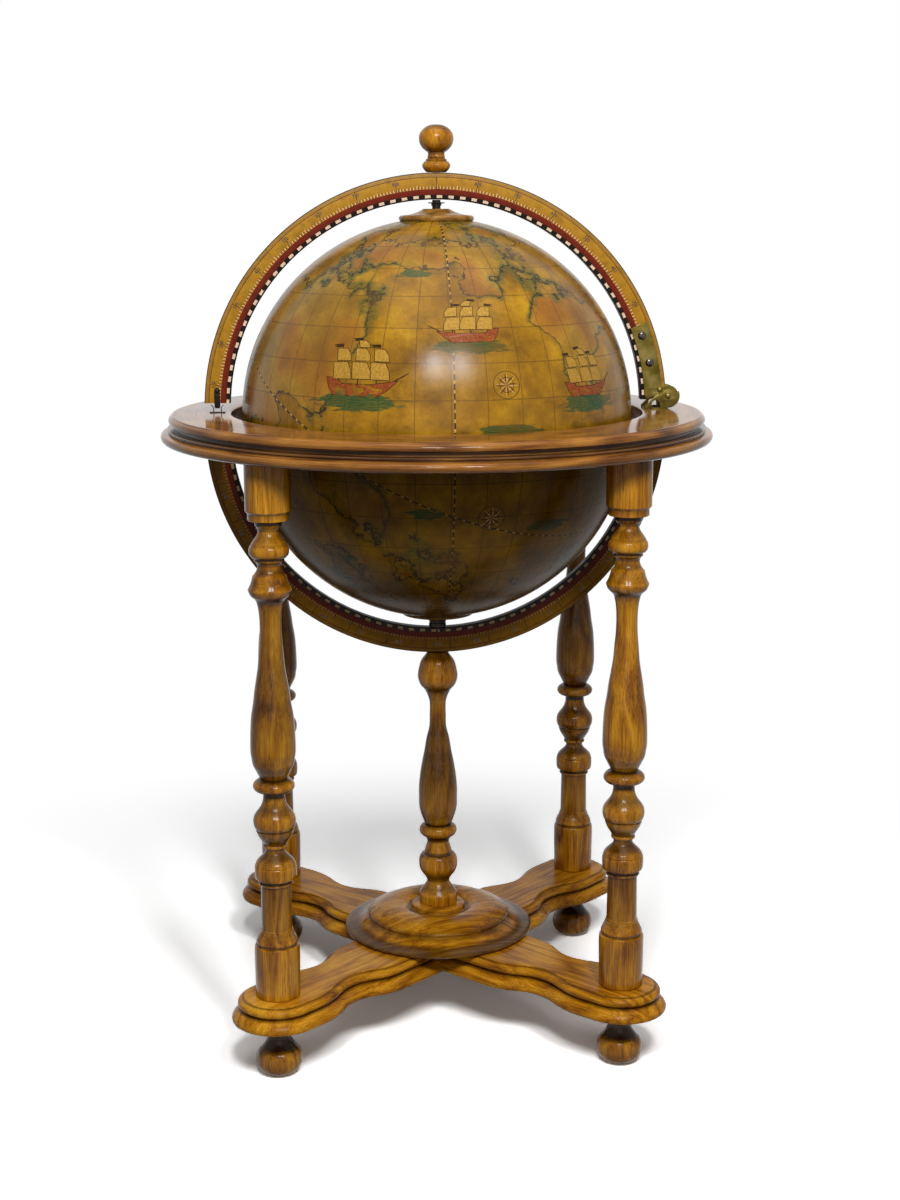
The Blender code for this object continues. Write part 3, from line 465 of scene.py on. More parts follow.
legTurning = {
    "steps": 56,
    # bands that took more stain: from, to, how much
    "darker": {"front_left": (312, 496, 0.42), "rear_left": (312, 496, 0.3),
               "rear_right": (312, 496, 0.2)},
    "runs": [
        [(618, 0), (618, 21.7)],
        [(617.6, 22.1), (571.0, 22.1)],
        [(570.4, 21.7), (568.6, 20.2)],
        [(568.2, 19.8), (562.2, 19.8)],
        [(561.6, 19.2), (561.2, 13.4)],
        [(559, 13), (556.7, 13)],
        [(555.5, 12), (552.2, 10), (548, 11), (542, 15), (538.6, 17.2)],
        [(538, 17.2), (536.2, 18.6), (532.5, 19.3), (528.5, 18.6), (526, 16.4)],
        [(525.4, 14.6), (524.5, 14.4), (522.5, 14.4)],
        [(522, 13.6), (518.7, 11.5), (513, 12.5), (508.8, 15.4)],
        [(508, 16.3), (504, 17.2), (500, 18.5), (495.1, 20.9)],
        [(494.4, 20.9), (489.3, 18.8), (484.7, 14), (478.7, 12), (467, 10.6), (449, 10.6),
         (431, 12.1), (419, 13.1), (407, 15), (395, 17), (383, 18.5), (371, 20.5), (358.6, 21.5),
         (346, 22), (334, 22), (328, 21.1), (322, 20.1), (315.8, 17.2), (309, 13.9), (307.4, 13.4)],
        [(307, 14.6), (305.2, 17.7), (303, 19.7), (300.2, 20.5), (297.4, 19.6), (295.2, 17.2),
         (294, 13.6)],
        [(293.4, 11), (291, 10.7), (287, 10.9), (283, 11.8), (278.7, 13.8), (273.1, 18),
         (269.5, 20.1), (265.5, 20.9), (261, 20.6), (258, 19.6), (256.8, 18.8)],
        [(256.2, 17.6), (255.4, 17.6)],
        [(255, 18.4), (250.5, 16.9), (246.1, 14.3), (242.5, 12), (240.8, 11)],
        [(240.4, 11.6), (239.6, 12), (238.6, 12), (237.8, 11.6)],
        [(237.2, 10), (234.5, 9.4), (232.2, 10.2), (229.5, 12.6), (226, 16.3), (223.3, 18.6),
         (220, 20)],
        [(219.4, 19.6), (218.6, 20.3), (208, 20.3), (206, 19.7), (204.8, 18.2)],
        [(204.4, 16), (202.4, 15.6)],
        [(202, 16.4), (200.8, 16.9), (199.6, 16.4)],
        [(199.2, 14.6), (153.6, 15.2)],
        [(153.1, 15.9), (151.6, 15.9)],
        [(151.3, 16.4), (149, 17.1), (146.2, 18.6), (143, 20), (140.4, 20.7), (139.4, 20.4)],
        [(138.7, 19.4), (137.1, 19.4)],
        [(136.6, 21.5), (135.9, 22), (84.4, 22)],
        [(83.7, 21.6), (83.5, 0)],
    ],
}


def makeLegs():
    first = corners["front_left"]
    outline = outlineOf(legTurning["runs"])
    leg = turnOnLathe("turnedLegFrontLeft", outline, legTurning["steps"], first)
    markRecesses(leg, outline, first)
    for corner, piece in toCorners(leg, "turnedLeg").items():
        hand(piece, turnedBeech, "stand", "stained_wood", "leg_" + corner)
        if corner in legTurning["darker"]:
            stainDarker(piece, *legTurning["darker"][corner])


makeLegs()
print("legs turned")


# Bun feet

footTurning = {
    "steps": 48,
    "paintedShadeFrom": 26,           # height from which the neck is painted dark: painted shade under the board
    "paintedShadeOver": 4,
    "runs": [
        [(57.3, 0), (57.3, 11.8)],
        [(57.1, 12), (45, 11.6), (39, 11.8), (35.5, 13), (31, 15.8), (27.6, 18.4)],
        [(27.2, 18.9), (25, 20.8), (21, 22.7), (16.5, 23.2), (11, 22.6), (5.5, 19.9), (1.8, 14.8),
         (0.2, 9.6)],
        [(0, 9.2), (0, 0)],
    ],
}


def makeFeet():
    outline = outlineOf(footTurning["runs"])
    foot = turnOnLathe("bunFootFrontLeft", outline, footTurning["steps"], corners["front_left"])
    paintedShadeFrom, paintedShadeOver = footTurning["paintedShadeFrom"], footTurning["paintedShadeOver"]
    # painted shade: the neck dark from this height up
    markStainAndShade(foot, lambda out, height: zeroToOne((height - paintedShadeFrom) / paintedShadeOver))
    for corner, piece in toCorners(foot, "bunFoot").items():
        hand(piece, turnedBeech, "stand", "stained_wood", "foot_" + corner)


makeFeet()
print("feet turned")


# Centre column and base disc

columnTurning = {
    "steps": 56,
    "darker": (200, 342, 0.6),    # band that took more stain: from, to, how much
    "runs": [
        [(390.1, 0), (390.1, 10.7)],
        [(389.9, 11), (387.2, 12.7), (380.7, 17.5), (374.1, 19.6), (363.2, 21.2), (354.5, 18.6),
         (349, 14), (341, 10.2), (334.7, 8.7), (320.3, 8.7), (308.2, 9.1), (294.9, 12.3),
         (281.6, 14.5), (268.2, 17.2), (254.8, 19.3), (241.3, 20.6), (229, 20.6), (221, 20.5),
         (214.3, 19.4), (207.6, 17.3), (200.8, 14.6), (199.6, 13.8)],
        [(199.2, 15.4), (197.2, 18.7), (192.8, 20.3), (188.4, 18.7), (186.2, 15.6)],
        [(185.6, 14), (183.8, 13.5), (180.4, 11.7), (173.6, 13.5), (168.4, 15)],
        [(167.6, 15.2), (166.2, 15.4)],
        [(165.6, 17.8), (163, 19.8), (159.9, 20.6), (154.2, 20.8), (149.5, 20), (146.2, 18.5),
         (139.3, 13.6), (134.7, 12), (130.1, 14.7), (125.6, 18), (123.2, 19.4)],
        [(122.4, 20), (121.4, 20.4), (111.4, 20.4)],
        [(110.8, 20), (110.7, 0)],
    ],
}
discTurning = {
    "steps": 112,
    # stain and painted shade in the two grooves: how far out, half width, how much
    "grooves": [(31.5, 4, 1), (76.5, 5, 0.6)],
    "skirt": (82, 6, 0.72),       # the darker skirt: from, over, how much
    "runs": [
        [(110.4, 0), (110.4, 20), (110.2, 26.4)],
        [(109.8, 27.4), (108.9, 28.6)],
        [(106.6, 28.8), (104.9, 29.6), (104.4, 31.2), (105, 33.2), (106.6, 35.4), (108.5, 39),
         (109.6, 46), (109.3, 54), (107.5, 62), (104.2, 69.6), (102.2, 73.8)],
        [(101.6, 75.2), (100.2, 76), (98.8, 75.9)],
        [(98.3, 75.4), (97, 75.4)],
        [(96.6, 76), (95.3, 78.4), (91.5, 84), (88.9, 91), (87.6, 97.6)],
        [(87.2, 99.6), (86.8, 100.6), (86, 101), (85, 100.8), (84.3, 100)],
        [(83.6, 97), (83.4, 95)],
        [(83.4, 94), (83.4, 0)],
    ],
}


# darker in the two grooves, stain and painted shade there, and darker towards the outer edge
def discStainAndShade(out, height):
    start, over, amount = discTurning["skirt"]
    dark = [peakAt(out, middle, reach) * most for middle, reach, most in discTurning["grooves"]]
    return max(*dark, zeroToOne((out - start) / over) * amount)


def makeColumn():
    outline = outlineOf(columnTurning["runs"])
    column = turnOnLathe("turnedColumn", outline, columnTurning["steps"])
    markRecesses(column, outline)
    stainDarker(column, *columnTurning["darker"])
    hand(column, turnedBeech, "stand", "stained_wood", "centre_column")
    disc = turnOnLathe("baseDisc", outlineOf(discTurning["runs"]), discTurning["steps"])
    markStainAndShade(disc, discStainAndShade)
    hand(disc, flatGrainBeech, "stand", "stained_wood", "base_disc")


makeColumn()
print("column and disc turned")


# Crossed base boards

boards = {
    "bottom": 57.6,
    "crossHalf": 50,          # half width at the crossing
    "lapHeight": 12.75,       # where the boards are halved, over the bottom
    "lapGap": 0.15,
    "lobeAt": 243.5,
    "lobeRadius": 46.5,
    # darker stain and painted shade: height over the bottom, half width, how much
    "grooves": [(13.6, 2.6, 1), (24, 0.6, 0.8)],
    # blocks that cut the boards: past the crossing, half lengths, below and above the bottom
    "cutters": {"side": 0.5, "arm": 150, "lap": 200, "low": 10, "high": 36},
    # side of an arm: distance along the arm, half width
    "side": [(50, 50), (70, 50), (90, 50), (107, 49.8), (119, 48.6), (131, 45.6), (138, 42.4),
             (146, 38.4), (154, 35.5), (163, 34.4), (172, 35.1), (180, 37), (187, 39.4), (196, 42.8),
             (208, 45.8), (218, 46.9), (230, 46.9)],
    # moulded edge: how far in from the outline, height over the bottom
    "edge": [(2.2, 0), (0.6, 0.7), (0, 2), (0, 4.4), (0.8, 6.2), (3, 8.8), (6, 11.2), (8.6, 12.8),
             (10, 13.9), (10.2, 14.6), (8.4, 15.1), (6.9, 16.2), (6.1, 18), (6.2, 20), (7.2, 21.8),
             (8.8, 23.1), (10.6, 23.8), (12, 24), (12.2, 24.3), (12.4, 25.1), (13, 25.5)],
}


def armOutline():
    # one arm along X, from the crossing round its lobe and back
    side = [(x, y) for x, y in curveThrough(boards["side"], 3)]
    lobe = arcPoints((boards["lobeAt"], 0), boards["lobeRadius"], -96, 96, 40)
    return [(x, -y) for x, y in side] + lobe + side[:0:-1]


def turnedRing(ring, degrees):
    c, s = math.cos(math.radians(degrees)), math.sin(math.radians(degrees))
    return [(x * c - y * s, x * s + y * c) for x, y in ring]


def crossOutline():
    arm = armOutline()
    whole = [point for quarter in range(4) for point in turnedRing(arm, quarter * 90)]
    return turnedRing(whole, 45)


def movedIn(outline, distance):
    made = []
    for i, (x, y) in enumerate(outline):
        before, after = outline[i - 1], outline[(i + 1) % len(outline)]
        normals = []
        for start, end in ((before, (x, y)), ((x, y), after)):
            length = math.dist(start, end)
            normals.append((-(end[1] - start[1]) / length, (end[0] - start[0]) / length))
        across = (normals[0][0] + normals[1][0], normals[0][1] + normals[1][1])
        spread = 1 + normals[0][0] * normals[1][0] + normals[0][1] * normals[1][1]
        made.append((x + across[0] * distance / spread, y + across[1] * distance / spread))
    return made


def mouldedCross(name):
    # drawn round once, made a face, then raised ring by ring, each ring slid to its place
    outline = crossOutline()
    edge = boards["edge"]
    ring = movedIn(outline, edge[0][0])
    points = [(x * mm, y * mm, boards["bottom"] * mm) for x, y in ring]
    piece = firstPoint(name, points[0])
    drawOn(points)
    bpy.ops.mesh.select_all(action="SELECT")
    bpy.ops.mesh.edge_face_add()
    for (_, height), (inward, nextHeight) in zip(edge, edge[1:]):
        rise = (0, 0, (nextHeight - height) * mm)
        bpy.ops.mesh.select_mode(type="FACE")
        bpy.ops.mesh.extrude_region_move(TRANSFORM_OT_translate={"value": rise})
        bpy.ops.object.mode_set(mode="OBJECT")
        target = movedIn(outline, inward)
        places = np.array(ring) * mm
        for vertex in piece.data.vertices:
            if vertex.select:
                near = ((places - vertex.co[:2]) ** 2).sum(axis=1).argmin()
                vertex.co.x, vertex.co.y = target[near][0] * mm, target[near][1] * mm
        ring = target
        bpy.ops.object.mode_set(mode="EDIT")
    closeAndSmooth(piece, 30)
    return piece


def mouldingStainAndShade(out, height):
    # the groove under the rounded upper edge, and the quirk on top, are darker: more stain and painted shade
    return max(peakAt(height - boards["bottom"], middle, reach) * most
               for middle, reach, most in boards["grooves"])


def makeBoards():
    half, gap, cutters = boards["crossHalf"], boards["lapGap"], boards["cutters"]
    low, high = boards["bottom"] - cutters["low"], boards["bottom"] + cutters["high"]
    lap = boards["bottom"] + boards["lapHeight"]
    whole = mouldedCross("baseBoardLeftToRight")
    for name, node, turn, material, liftLap in (
        ("baseBoardRightToLeft", "cross_board_right_to_left", 45, boardAlongRight, False),
        ("baseBoardLeftToRight", "cross_board_left_to_right", -45, boardAlongLeft, True),
    ):
        board = whole if liftLap else copyTo(whole, name)
        side, arm = half + cutters["side"], cutters["arm"]
        for near in (-1, 1):
            middle = near * (half - gap + arm)
            cutWith(board, blockAt("armCutter", (-side, middle - arm, low), (side, middle + arm, high), turn))
        lapLow, lapHigh = (lap - gap, high) if liftLap else (low, lap + gap)
        cutWith(board, blockAt("lapCutter", (-half - gap, -cutters["lap"], lapLow),
                               (half + gap, cutters["lap"], lapHigh), turn))
        closeAndSmooth(board, 30)
        markStainAndShade(board, mouldingStainAndShade)
        hand(board, material, "stand", "stained_wood", node)


makeBoards()
print("base boards made")


# Table ring in two tiers

tableTurning = {
    "steps": 192,
    # darker stain and painted shade: heights of the grooves, half height of a dark band, how far out it
    # starts
    "upperGrooves": (634.4,),
    "lowerGrooves": (629.2, 632),
    "grooveReach": 1.7,
    "grooveFrom": 262,
    "upper": [
        [(644.9, 211.3), (645.5, 211.9), (645.5, 269.6)],
        [(645.3, 270.6), (644.6, 271)],
        [(644, 271.6), (643.2, 273), (641.4, 274.3), (639.4, 274.6), (637.8, 274.2)],
        [(637, 273.2), (636.8, 272)],
        [(636.6, 268.4), (636.2, 268), (632.3, 268)],
        [(632.3, 211.3)],
        [(644.9, 211.3)],
    ],
    "lower": [
        [(632, 211.3), (632, 274.4)],
        [(631.9, 275.2), (631.2, 276), (630, 275.8), (629.4, 275)],
        [(629.2, 274.4), (628.6, 274.6), (628, 276.6), (627.4, 279.2)],
        [(627.2, 280.4), (626.2, 281.8), (623.8, 282.8), (621, 282.3), (619.4, 281)],
        [(618.9, 280), (618.3, 278.6)],
        [(618.3, 211.3)],
        [(632, 211.3)],
    ],
}


def grooveStainAndShade(tier):
    grooves, reach = tableTurning[tier + "Grooves"], tableTurning["grooveReach"]
    start = tableTurning["grooveFrom"]
    return lambda out, height: (out > start) * max(peakAt(height, at, reach) for at in grooves)


def makeTable():
    for name, tier, slot in (
        ("tableRingUpper", "upper", "table_wood"), ("tableRingLower", "lower", "stained_wood"),
    ):
        outline = outlineOf(tableTurning[tier], gap=0.9)
        piece = turnOnLathe(name, outline, tableTurning["steps"], sharp=28)
        markStainAndShade(piece, grooveStainAndShade(tier))
        hand(piece, tableBeech, "stand", slot, "table_ring_" + tier)


makeTable()
print("table ring turned")


# Meridian ring: paper scale on both faces of a wooden arc

meridian = {
    "inner": 211.3,
    "outer": 237.8,
    "halfDepth": 6.5,
    "rounding": 0.9,
    "upperCentre": 647.0,
    "upperEnd": 655.5,
    "lowerCentre": 628.2,
    "lowerEnd": 618.0,
    "steps": 180,
    # printed bands from the inner edge to the outer: black, red, yellow, brown line, pale, edge
    "bands": [(0.0, "#17100C"), (0.178, "#1B110C"), (0.183, "#6E2210"), (0.385, "#7E2A14"),
              (0.39, "#B58722"), (0.815, "#C29528"), (0.82, "#6A2810"), (0.838, "#6A2810"),
              (0.843, "#AA8438"), (0.962, "#B28C40"), (0.972, "#341A0A"), (1.0, "#281308")],
    "labelStep": 10.4,        # degrees of arc between two numbers
    "ticksPerLabel": 12,
    "dashStep": 3.15,         # degrees of arc for a black and a white dash
    "numberRadius": 229.6,
    "numberSize": 5.4,        # the font's size, for figures 4 mm high
    "numberBold": 0.15,       # widens the strokes
    "numberThick": 0.02,
    "numberLift": 0.03,       # over the ring's face
}


# Varnished printed paper on beech: yellow bands, fine lines, a red band and a dashed border, read
# from each point's distance and angle round the arc's centre, all darkened by a painted shade colour
def scalePaper(name, centre, paintedShade):
    material, tree, shader, place = startMaterial(name)
    moved = addNode(tree, "Mapping", {"Vector": place, "Location": (0, 0, -centre * mm)})
    x, y, z = addNode(tree, "SeparateXYZ", {0: moved}).outputs
    flat = addNode(tree, "CombineXYZ", {0: x, 2: z})
    out = addNode(tree, "VectorMath", {0: flat}, operation="LENGTH")
    across = addNode(tree, "MapRange", {0: out, 1: meridian["inner"] * mm, 2: meridian["outer"] * mm,
                                        3: 0, 4: 1})
    wear = addNode(tree, "TexNoise", {"Vector": place, "Scale": 1 / (8 * mm), "Detail": 6})
    fine = addNode(tree, "TexNoise", {"Vector": place, "Scale": 1 / (1.2 * mm), "Detail": 3})
    paper = addNode(tree, "ValToRGB", {0: across}, stops=meridian["bands"])
    tint = addNode(tree, "ValToRGB", {0: wear}, stops=[(0.3, 0.62), (0.5, 0.9), (0.7, 1.0)])
    paper = addNode(tree, "Mix", {0: 0.8, 6: paper, 7: tint}, data_type="RGBA", blend_type="MULTIPLY")
    speck = addNode(tree, "MapRange", {0: fine, 1: 0.56, 2: 0.72, 3: 0, 4: 0.35})
    paper = addNode(tree, "Mix", {0: speck, 6: paper, 7: "#6B4512"}, data_type="RGBA")
    # angle from the top, and how far a point lies through a tick, six ticks and a pair of dashes
    turn = addNode(tree, "Math", {0: x, 1: z}, operation="ARCTAN2")
    degrees = addNode(tree, "Math", {0: turn, 1: 180 / math.pi}, operation="MULTIPLY")
    tickStep = meridian["labelStep"] / meridian["ticksPerLabel"]
    parts = []
    for step in (tickStep, tickStep * 6, meridian["dashStep"]):
        count = addNode(tree, "Math", {0: degrees, 1: step}, operation="DIVIDE")
        parts.append(addNode(tree, "Math", {0: count}, operation="FRACT"))
    # ticks: a pale block beside a dark hairline, longer at every sixth
    pale = addNode(tree, "Math", {0: parts[0], 1: 0.30}, operation="LESS_THAN")
    dark = addNode(tree, "Math", {0: parts[0], 1: 0.42, 2: 0.09}, operation="COMPARE")
    isSixth = addNode(tree, "Math", {0: parts[1], 1: 1 / 6}, operation="LESS_THAN")
    reach = addNode(tree, "Math", {0: isSixth, 1: 0.05, 2: 0.485}, operation="MULTIPLY_ADD")
    below = addNode(tree, "Math", {0: across, 1: reach}, operation="LESS_THAN")
    above = addNode(tree, "Math", {0: across, 1: 0.39}, operation="GREATER_THAN")
    inTicks = addNode(tree, "Math", {0: below, 1: above}, operation="MULTIPLY")
    # a divider through the middle of each number
    label = addNode(tree, "Math", {0: degrees, 1: meridian["labelStep"]}, operation="DIVIDE")
    offLabel = addNode(tree, "Math", {0: label, 1: 0.5}, operation="PINGPONG")
    divider = addNode(tree, "Math", {0: offLabel, 1: 0.009}, operation="LESS_THAN")
    inBand = addNode(tree, "Math", {0: across, 1: 0.605, 2: 0.215}, operation="COMPARE")
    # white dashes in the black border
    dash = addNode(tree, "Math", {0: parts[2], 1: 0.46}, operation="LESS_THAN")
    inBorder = addNode(tree, "Math", {0: across, 1: 0.108, 2: 0.052}, operation="COMPARE")
    for mark, zone, colour in (
        (pale, inTicks, "#EFC79A"), (dark, inTicks, "#4A2A0E"), (divider, inBand, "#4A2A0E"),
        (dash, inBorder, "#F0DCC8"),
    ):
        here = addNode(tree, "Math", {0: mark, 1: zone}, operation="MULTIPLY")
        paper = addNode(tree, "Mix", {0: here, 6: paper, 7: colour}, data_type="RGBA")
    # the print is on the two faces only; the edges are dark wood
    depth = addNode(tree, "Math", {0: y}, operation="ABSOLUTE")
    faceFrom = (meridian["halfDepth"] - 0.4) * mm
    onFace = addNode(tree, "Math", {0: depth, 1: faceFrom}, operation="GREATER_THAN")
    paper = addNode(tree, "Mix", {0: onFace, 6: "#2B160A", 7: paper}, data_type="RGBA")
    # painted shade: the whole print multiplied by the arc's shade colour
    paper = addNode(tree, "Mix", {0: 1.0, 6: paper, 7: paintedShade}, data_type="RGBA", blend_type="MULTIPLY")
    dull = addNode(tree, "MapRange", {0: wear, 1: 0.3, 2: 0.7, 3: 0.34, 4: 0.46})
    relief = addNode(tree, "Bump", {"Height": fine, "Strength": 0.08, "Distance": 0.2 * mm})
    giveInputs(tree, shader, {"Base Color": paper, "Roughness": dull, "Normal": relief,
                              "Specular IOR Level": 0.09})
    return material


# Printing ink, dull and worn in flecks: nearly black brown for the numbers, the map's own colours
# for its ships
def printingInk(name, fleck, detail, stops, roughness, specular):
    material, tree, shader, place = startMaterial(name)
    worn = addNode(tree, "TexNoise", {"Vector": place, "Scale": 1 / (fleck * mm), "Detail": detail})
    colour = addNode(tree, "ValToRGB", {0: worn}, stops=stops)
    giveInputs(tree, shader, {"Base Color": colour, "Roughness": roughness,
                              "Specular IOR Level": specular})
    return material


# painted shade: light on the upper arc, darker on the lower arc in the table's shade
scaleUpper = scalePaper("varnishedScalePaperUpper", meridian["upperCentre"], "#E2D8CC")
scaleLower = scalePaper("varnishedScalePaperLower", meridian["lowerCentre"], "#BEAE92")
numberInk = printingInk("printingInk", 0.9, 3, [(0.45, "#180B05"), (0.75, "#40260E")], 0.5, 0.5)


def makeArc(name, centre, end, material, body, node):
    # a rounded section spun half round and cut off level at both ends
    width = meridian["outer"] - meridian["inner"]
    middle = (meridian["outer"] + meridian["inner"]) / 2
    upward = end > centre
    piece = addPlane(name, 1, (middle * mm, 0, centre * mm))
    piece.scale = (width * mm, 2 * meridian["halfDepth"] * mm, 1)
    bpy.ops.object.transform_apply(location=True, rotation=True, scale=True)
    openUp(piece)
    bpy.ops.mesh.bevel(offset=meridian["rounding"] * mm, segments=3, affect="VERTICES")
    bpy.ops.mesh.select_all(action="SELECT")
    bpy.ops.mesh.delete(type="ONLY_FACE")
    bpy.ops.mesh.select_all(action="SELECT")
    bpy.ops.mesh.spin(steps=meridian["steps"], angle=math.pi, center=(0, 0, centre * mm),
                      axis=(0, 1 if upward else -1, 0))
    bpy.ops.mesh.select_all(action="SELECT")
    bpy.ops.mesh.remove_doubles(threshold=0.01 * mm)
    bpy.ops.mesh.bisect(plane_co=(0, 0, end * mm), plane_no=(0, 0, 1), use_fill=True,
                        clear_inner=upward, clear_outer=not upward)
    closeAndSmooth(piece, 25)
    hand(piece, material, body, "scale_print", node)


def makeNumbers(name, centre, way, body):
    # flat figures set round the arc on both faces, joined in one piece; the way is 1 for up, -1 for down
    made = []
    for face in (-1, 1):
        for side in (-1, 1):
            for k in range(0 if way < 0 < side else 1, 9):
                text = bpy.data.curves.new(name, "FONT")
                text.body = " ".join(str(90 - 10 * k))
                text.offset = meridian["numberBold"] * mm
                text.size = meridian["numberSize"] * mm
                text.align_x = "CENTER"
                text.align_y = "CENTER"
                text.extrude = meridian["numberThick"] * mm
                text.resolution_u = 2
                figure = meshOf(name, text)
                depth = face * (meridian["halfDepth"] + meridian["numberLift"])
                onFace = moveBy(0, depth, way * meridian["numberRadius"])
                upright = turnBy(90 + 90 * face, "Z") @ turnBy(90, "X")
                turn = turnBy(meridian["labelStep"] * k * side * way, "Y")
                figure.data.transform(moveBy(0, 0, centre) @ turn @ onFace @ upright)
                made.append(figure)
    hand(joinAll(name, made), numberInk, body, "scale_print")


makeArc("meridianUpperArc", meridian["upperCentre"], meridian["upperEnd"], scaleUpper, "lid",
        "meridian_upper")
makeArc("meridianLowerArc", meridian["lowerCentre"], meridian["lowerEnd"], scaleLower, "stand",
        "meridian_lower")
makeNumbers("scaleNumbersUpper", meridian["upperCentre"], 1, "lid")
makeNumbers("scaleNumbersLower", meridian["lowerCentre"], -1, "stand")
print("meridian ring made")


# Finial

finialTurning = {
    "steps": 48,
    "runs": [
        [(931.9, 0), (931.6, 4.8), (930.1, 9.5), (926.8, 13.9), (922.8, 16.6), (918.6, 17.4),
         (914.8, 17), (911.6, 15.8), (908.6, 13.7), (906.4, 11.2), (905.2, 9.6)],
        [(904.7, 8.6), (903.4, 8.3), (901.4, 8.5), (899.8, 9)],
        [(899.3, 8.6), (898.8, 8.8)],
        [(898.4, 9.8), (897, 10.8)],
        [(896.6, 10.5), (896.1, 10.7)],
        [(895.7, 11.9), (893.9, 13.5), (891.8, 14.3), (889.3, 13.6), (887, 11.9), (885.7, 10.5)],
        [(885.2, 9.7), (885.1, 9.4), (885.1, 0)],
    ],
}


def makeFinial():
    outline = outlineOf(finialTurning["runs"], gap=1.1)
    piece = turnOnLathe("finialKnob", outline, finialTurning["steps"])
    markRecesses(piece, outline, reach=5, depth=8)
    hand(piece, turnedBeech, "lid", "stained_wood", "finial")


makeFinial()
print("finial turned")


# Globe halves: moulded shells with a varnished paper map outside and a plain lining inside

shells = {
    "steps": 144,
    "outerPoints": 56,
    "innerPoints": 40,
    "lipCorner": 0.4,         # the lip's edges are cut back by this, and by the rise beside them
    "lipRise": 0.5,
}
# rises and hollows of the invented map: direction, reach in degrees, weight
mapRises = [
    ((-0.75, -0.55, 0.45), 34, 0.16),
    ((0.35, -0.45, 0.95), 26, 0.12),
    ((0.75, -0.75, 0.62), 20, 0.12),
    ((0.0, -1.0, 0.25), 40, -0.16),
    ((0.55, -0.85, -0.25), 30, -0.14),
    ((-0.45, -0.8, -0.45), 26, 0.13),
    ((0.3, 0.8, 0.3), 45, 0.08),
    ((0.44, -0.80, 0.39), 9, -0.16),
    ((0.82, -0.50, 0.28), 15, -0.20),
    ((0.20, 0.72, 0.67), 11, -0.16),
]
# waves of the invented map: direction, half width and half height in mm
mapWaves = [
    ((-0.42, -0.84, 0.155), 46, 9),
    ((0.10, -0.88, 0.41), 38, 8),
    ((0.66, -0.70, 0.13), 40, 9),
    ((0.28, -0.95, 0.02), 34, 9),
    ((-0.16, -0.70, 0.80), 20, 5),
    ((0.60, 0.76, 0.20), 44, 9),
    ((-0.55, 0.80, 0.25), 40, 9),
    ((-0.95, 0.05, 0.20), 40, 9),
    ((-0.12, -0.93, -0.32), 20, 6),
    ((0.5, -0.8, -0.42), 24, 6),
]
# compass roses of the invented map: direction, radius in mm
mapRoses = [
    ((0.26, -0.93, 0.24), 13),
    ((-0.62, 0.62, 0.45), 14),
    ((0.20, -0.95, -0.36), 13),
]
# ships drawn on the invented map: direction, size, which way they sail
mapShips = [
    ((-0.42, -0.84, 0.23), 2.1, 1),
    ((0.10, -0.88, 0.475), 1.7, -1),
    ((0.66, -0.70, 0.205), 1.8, 1),
    ((0.60, 0.76, 0.275), 2.0, -1),
    ((-0.55, 0.80, 0.325), 1.8, 1),
    ((-0.95, 0.05, 0.275), 1.8, -1),
]
# dashed lines of the invented map: normal of the circle's plane, where its count starts
mapDashes = [
    ((1.0, 0.015, 0.0), (0, 0, 1)),
    ((0.36, -0.30, 0.85), (0.9, 0.2, -0.3)),
]


def axesAt(spot):
    # eastward, northward and outward at a direction on the globe
    outward = Vector(spot).normalized()
    eastward = Vector((0, 0, 1)).cross(outward).normalized()
    return eastward, outward.cross(eastward), outward


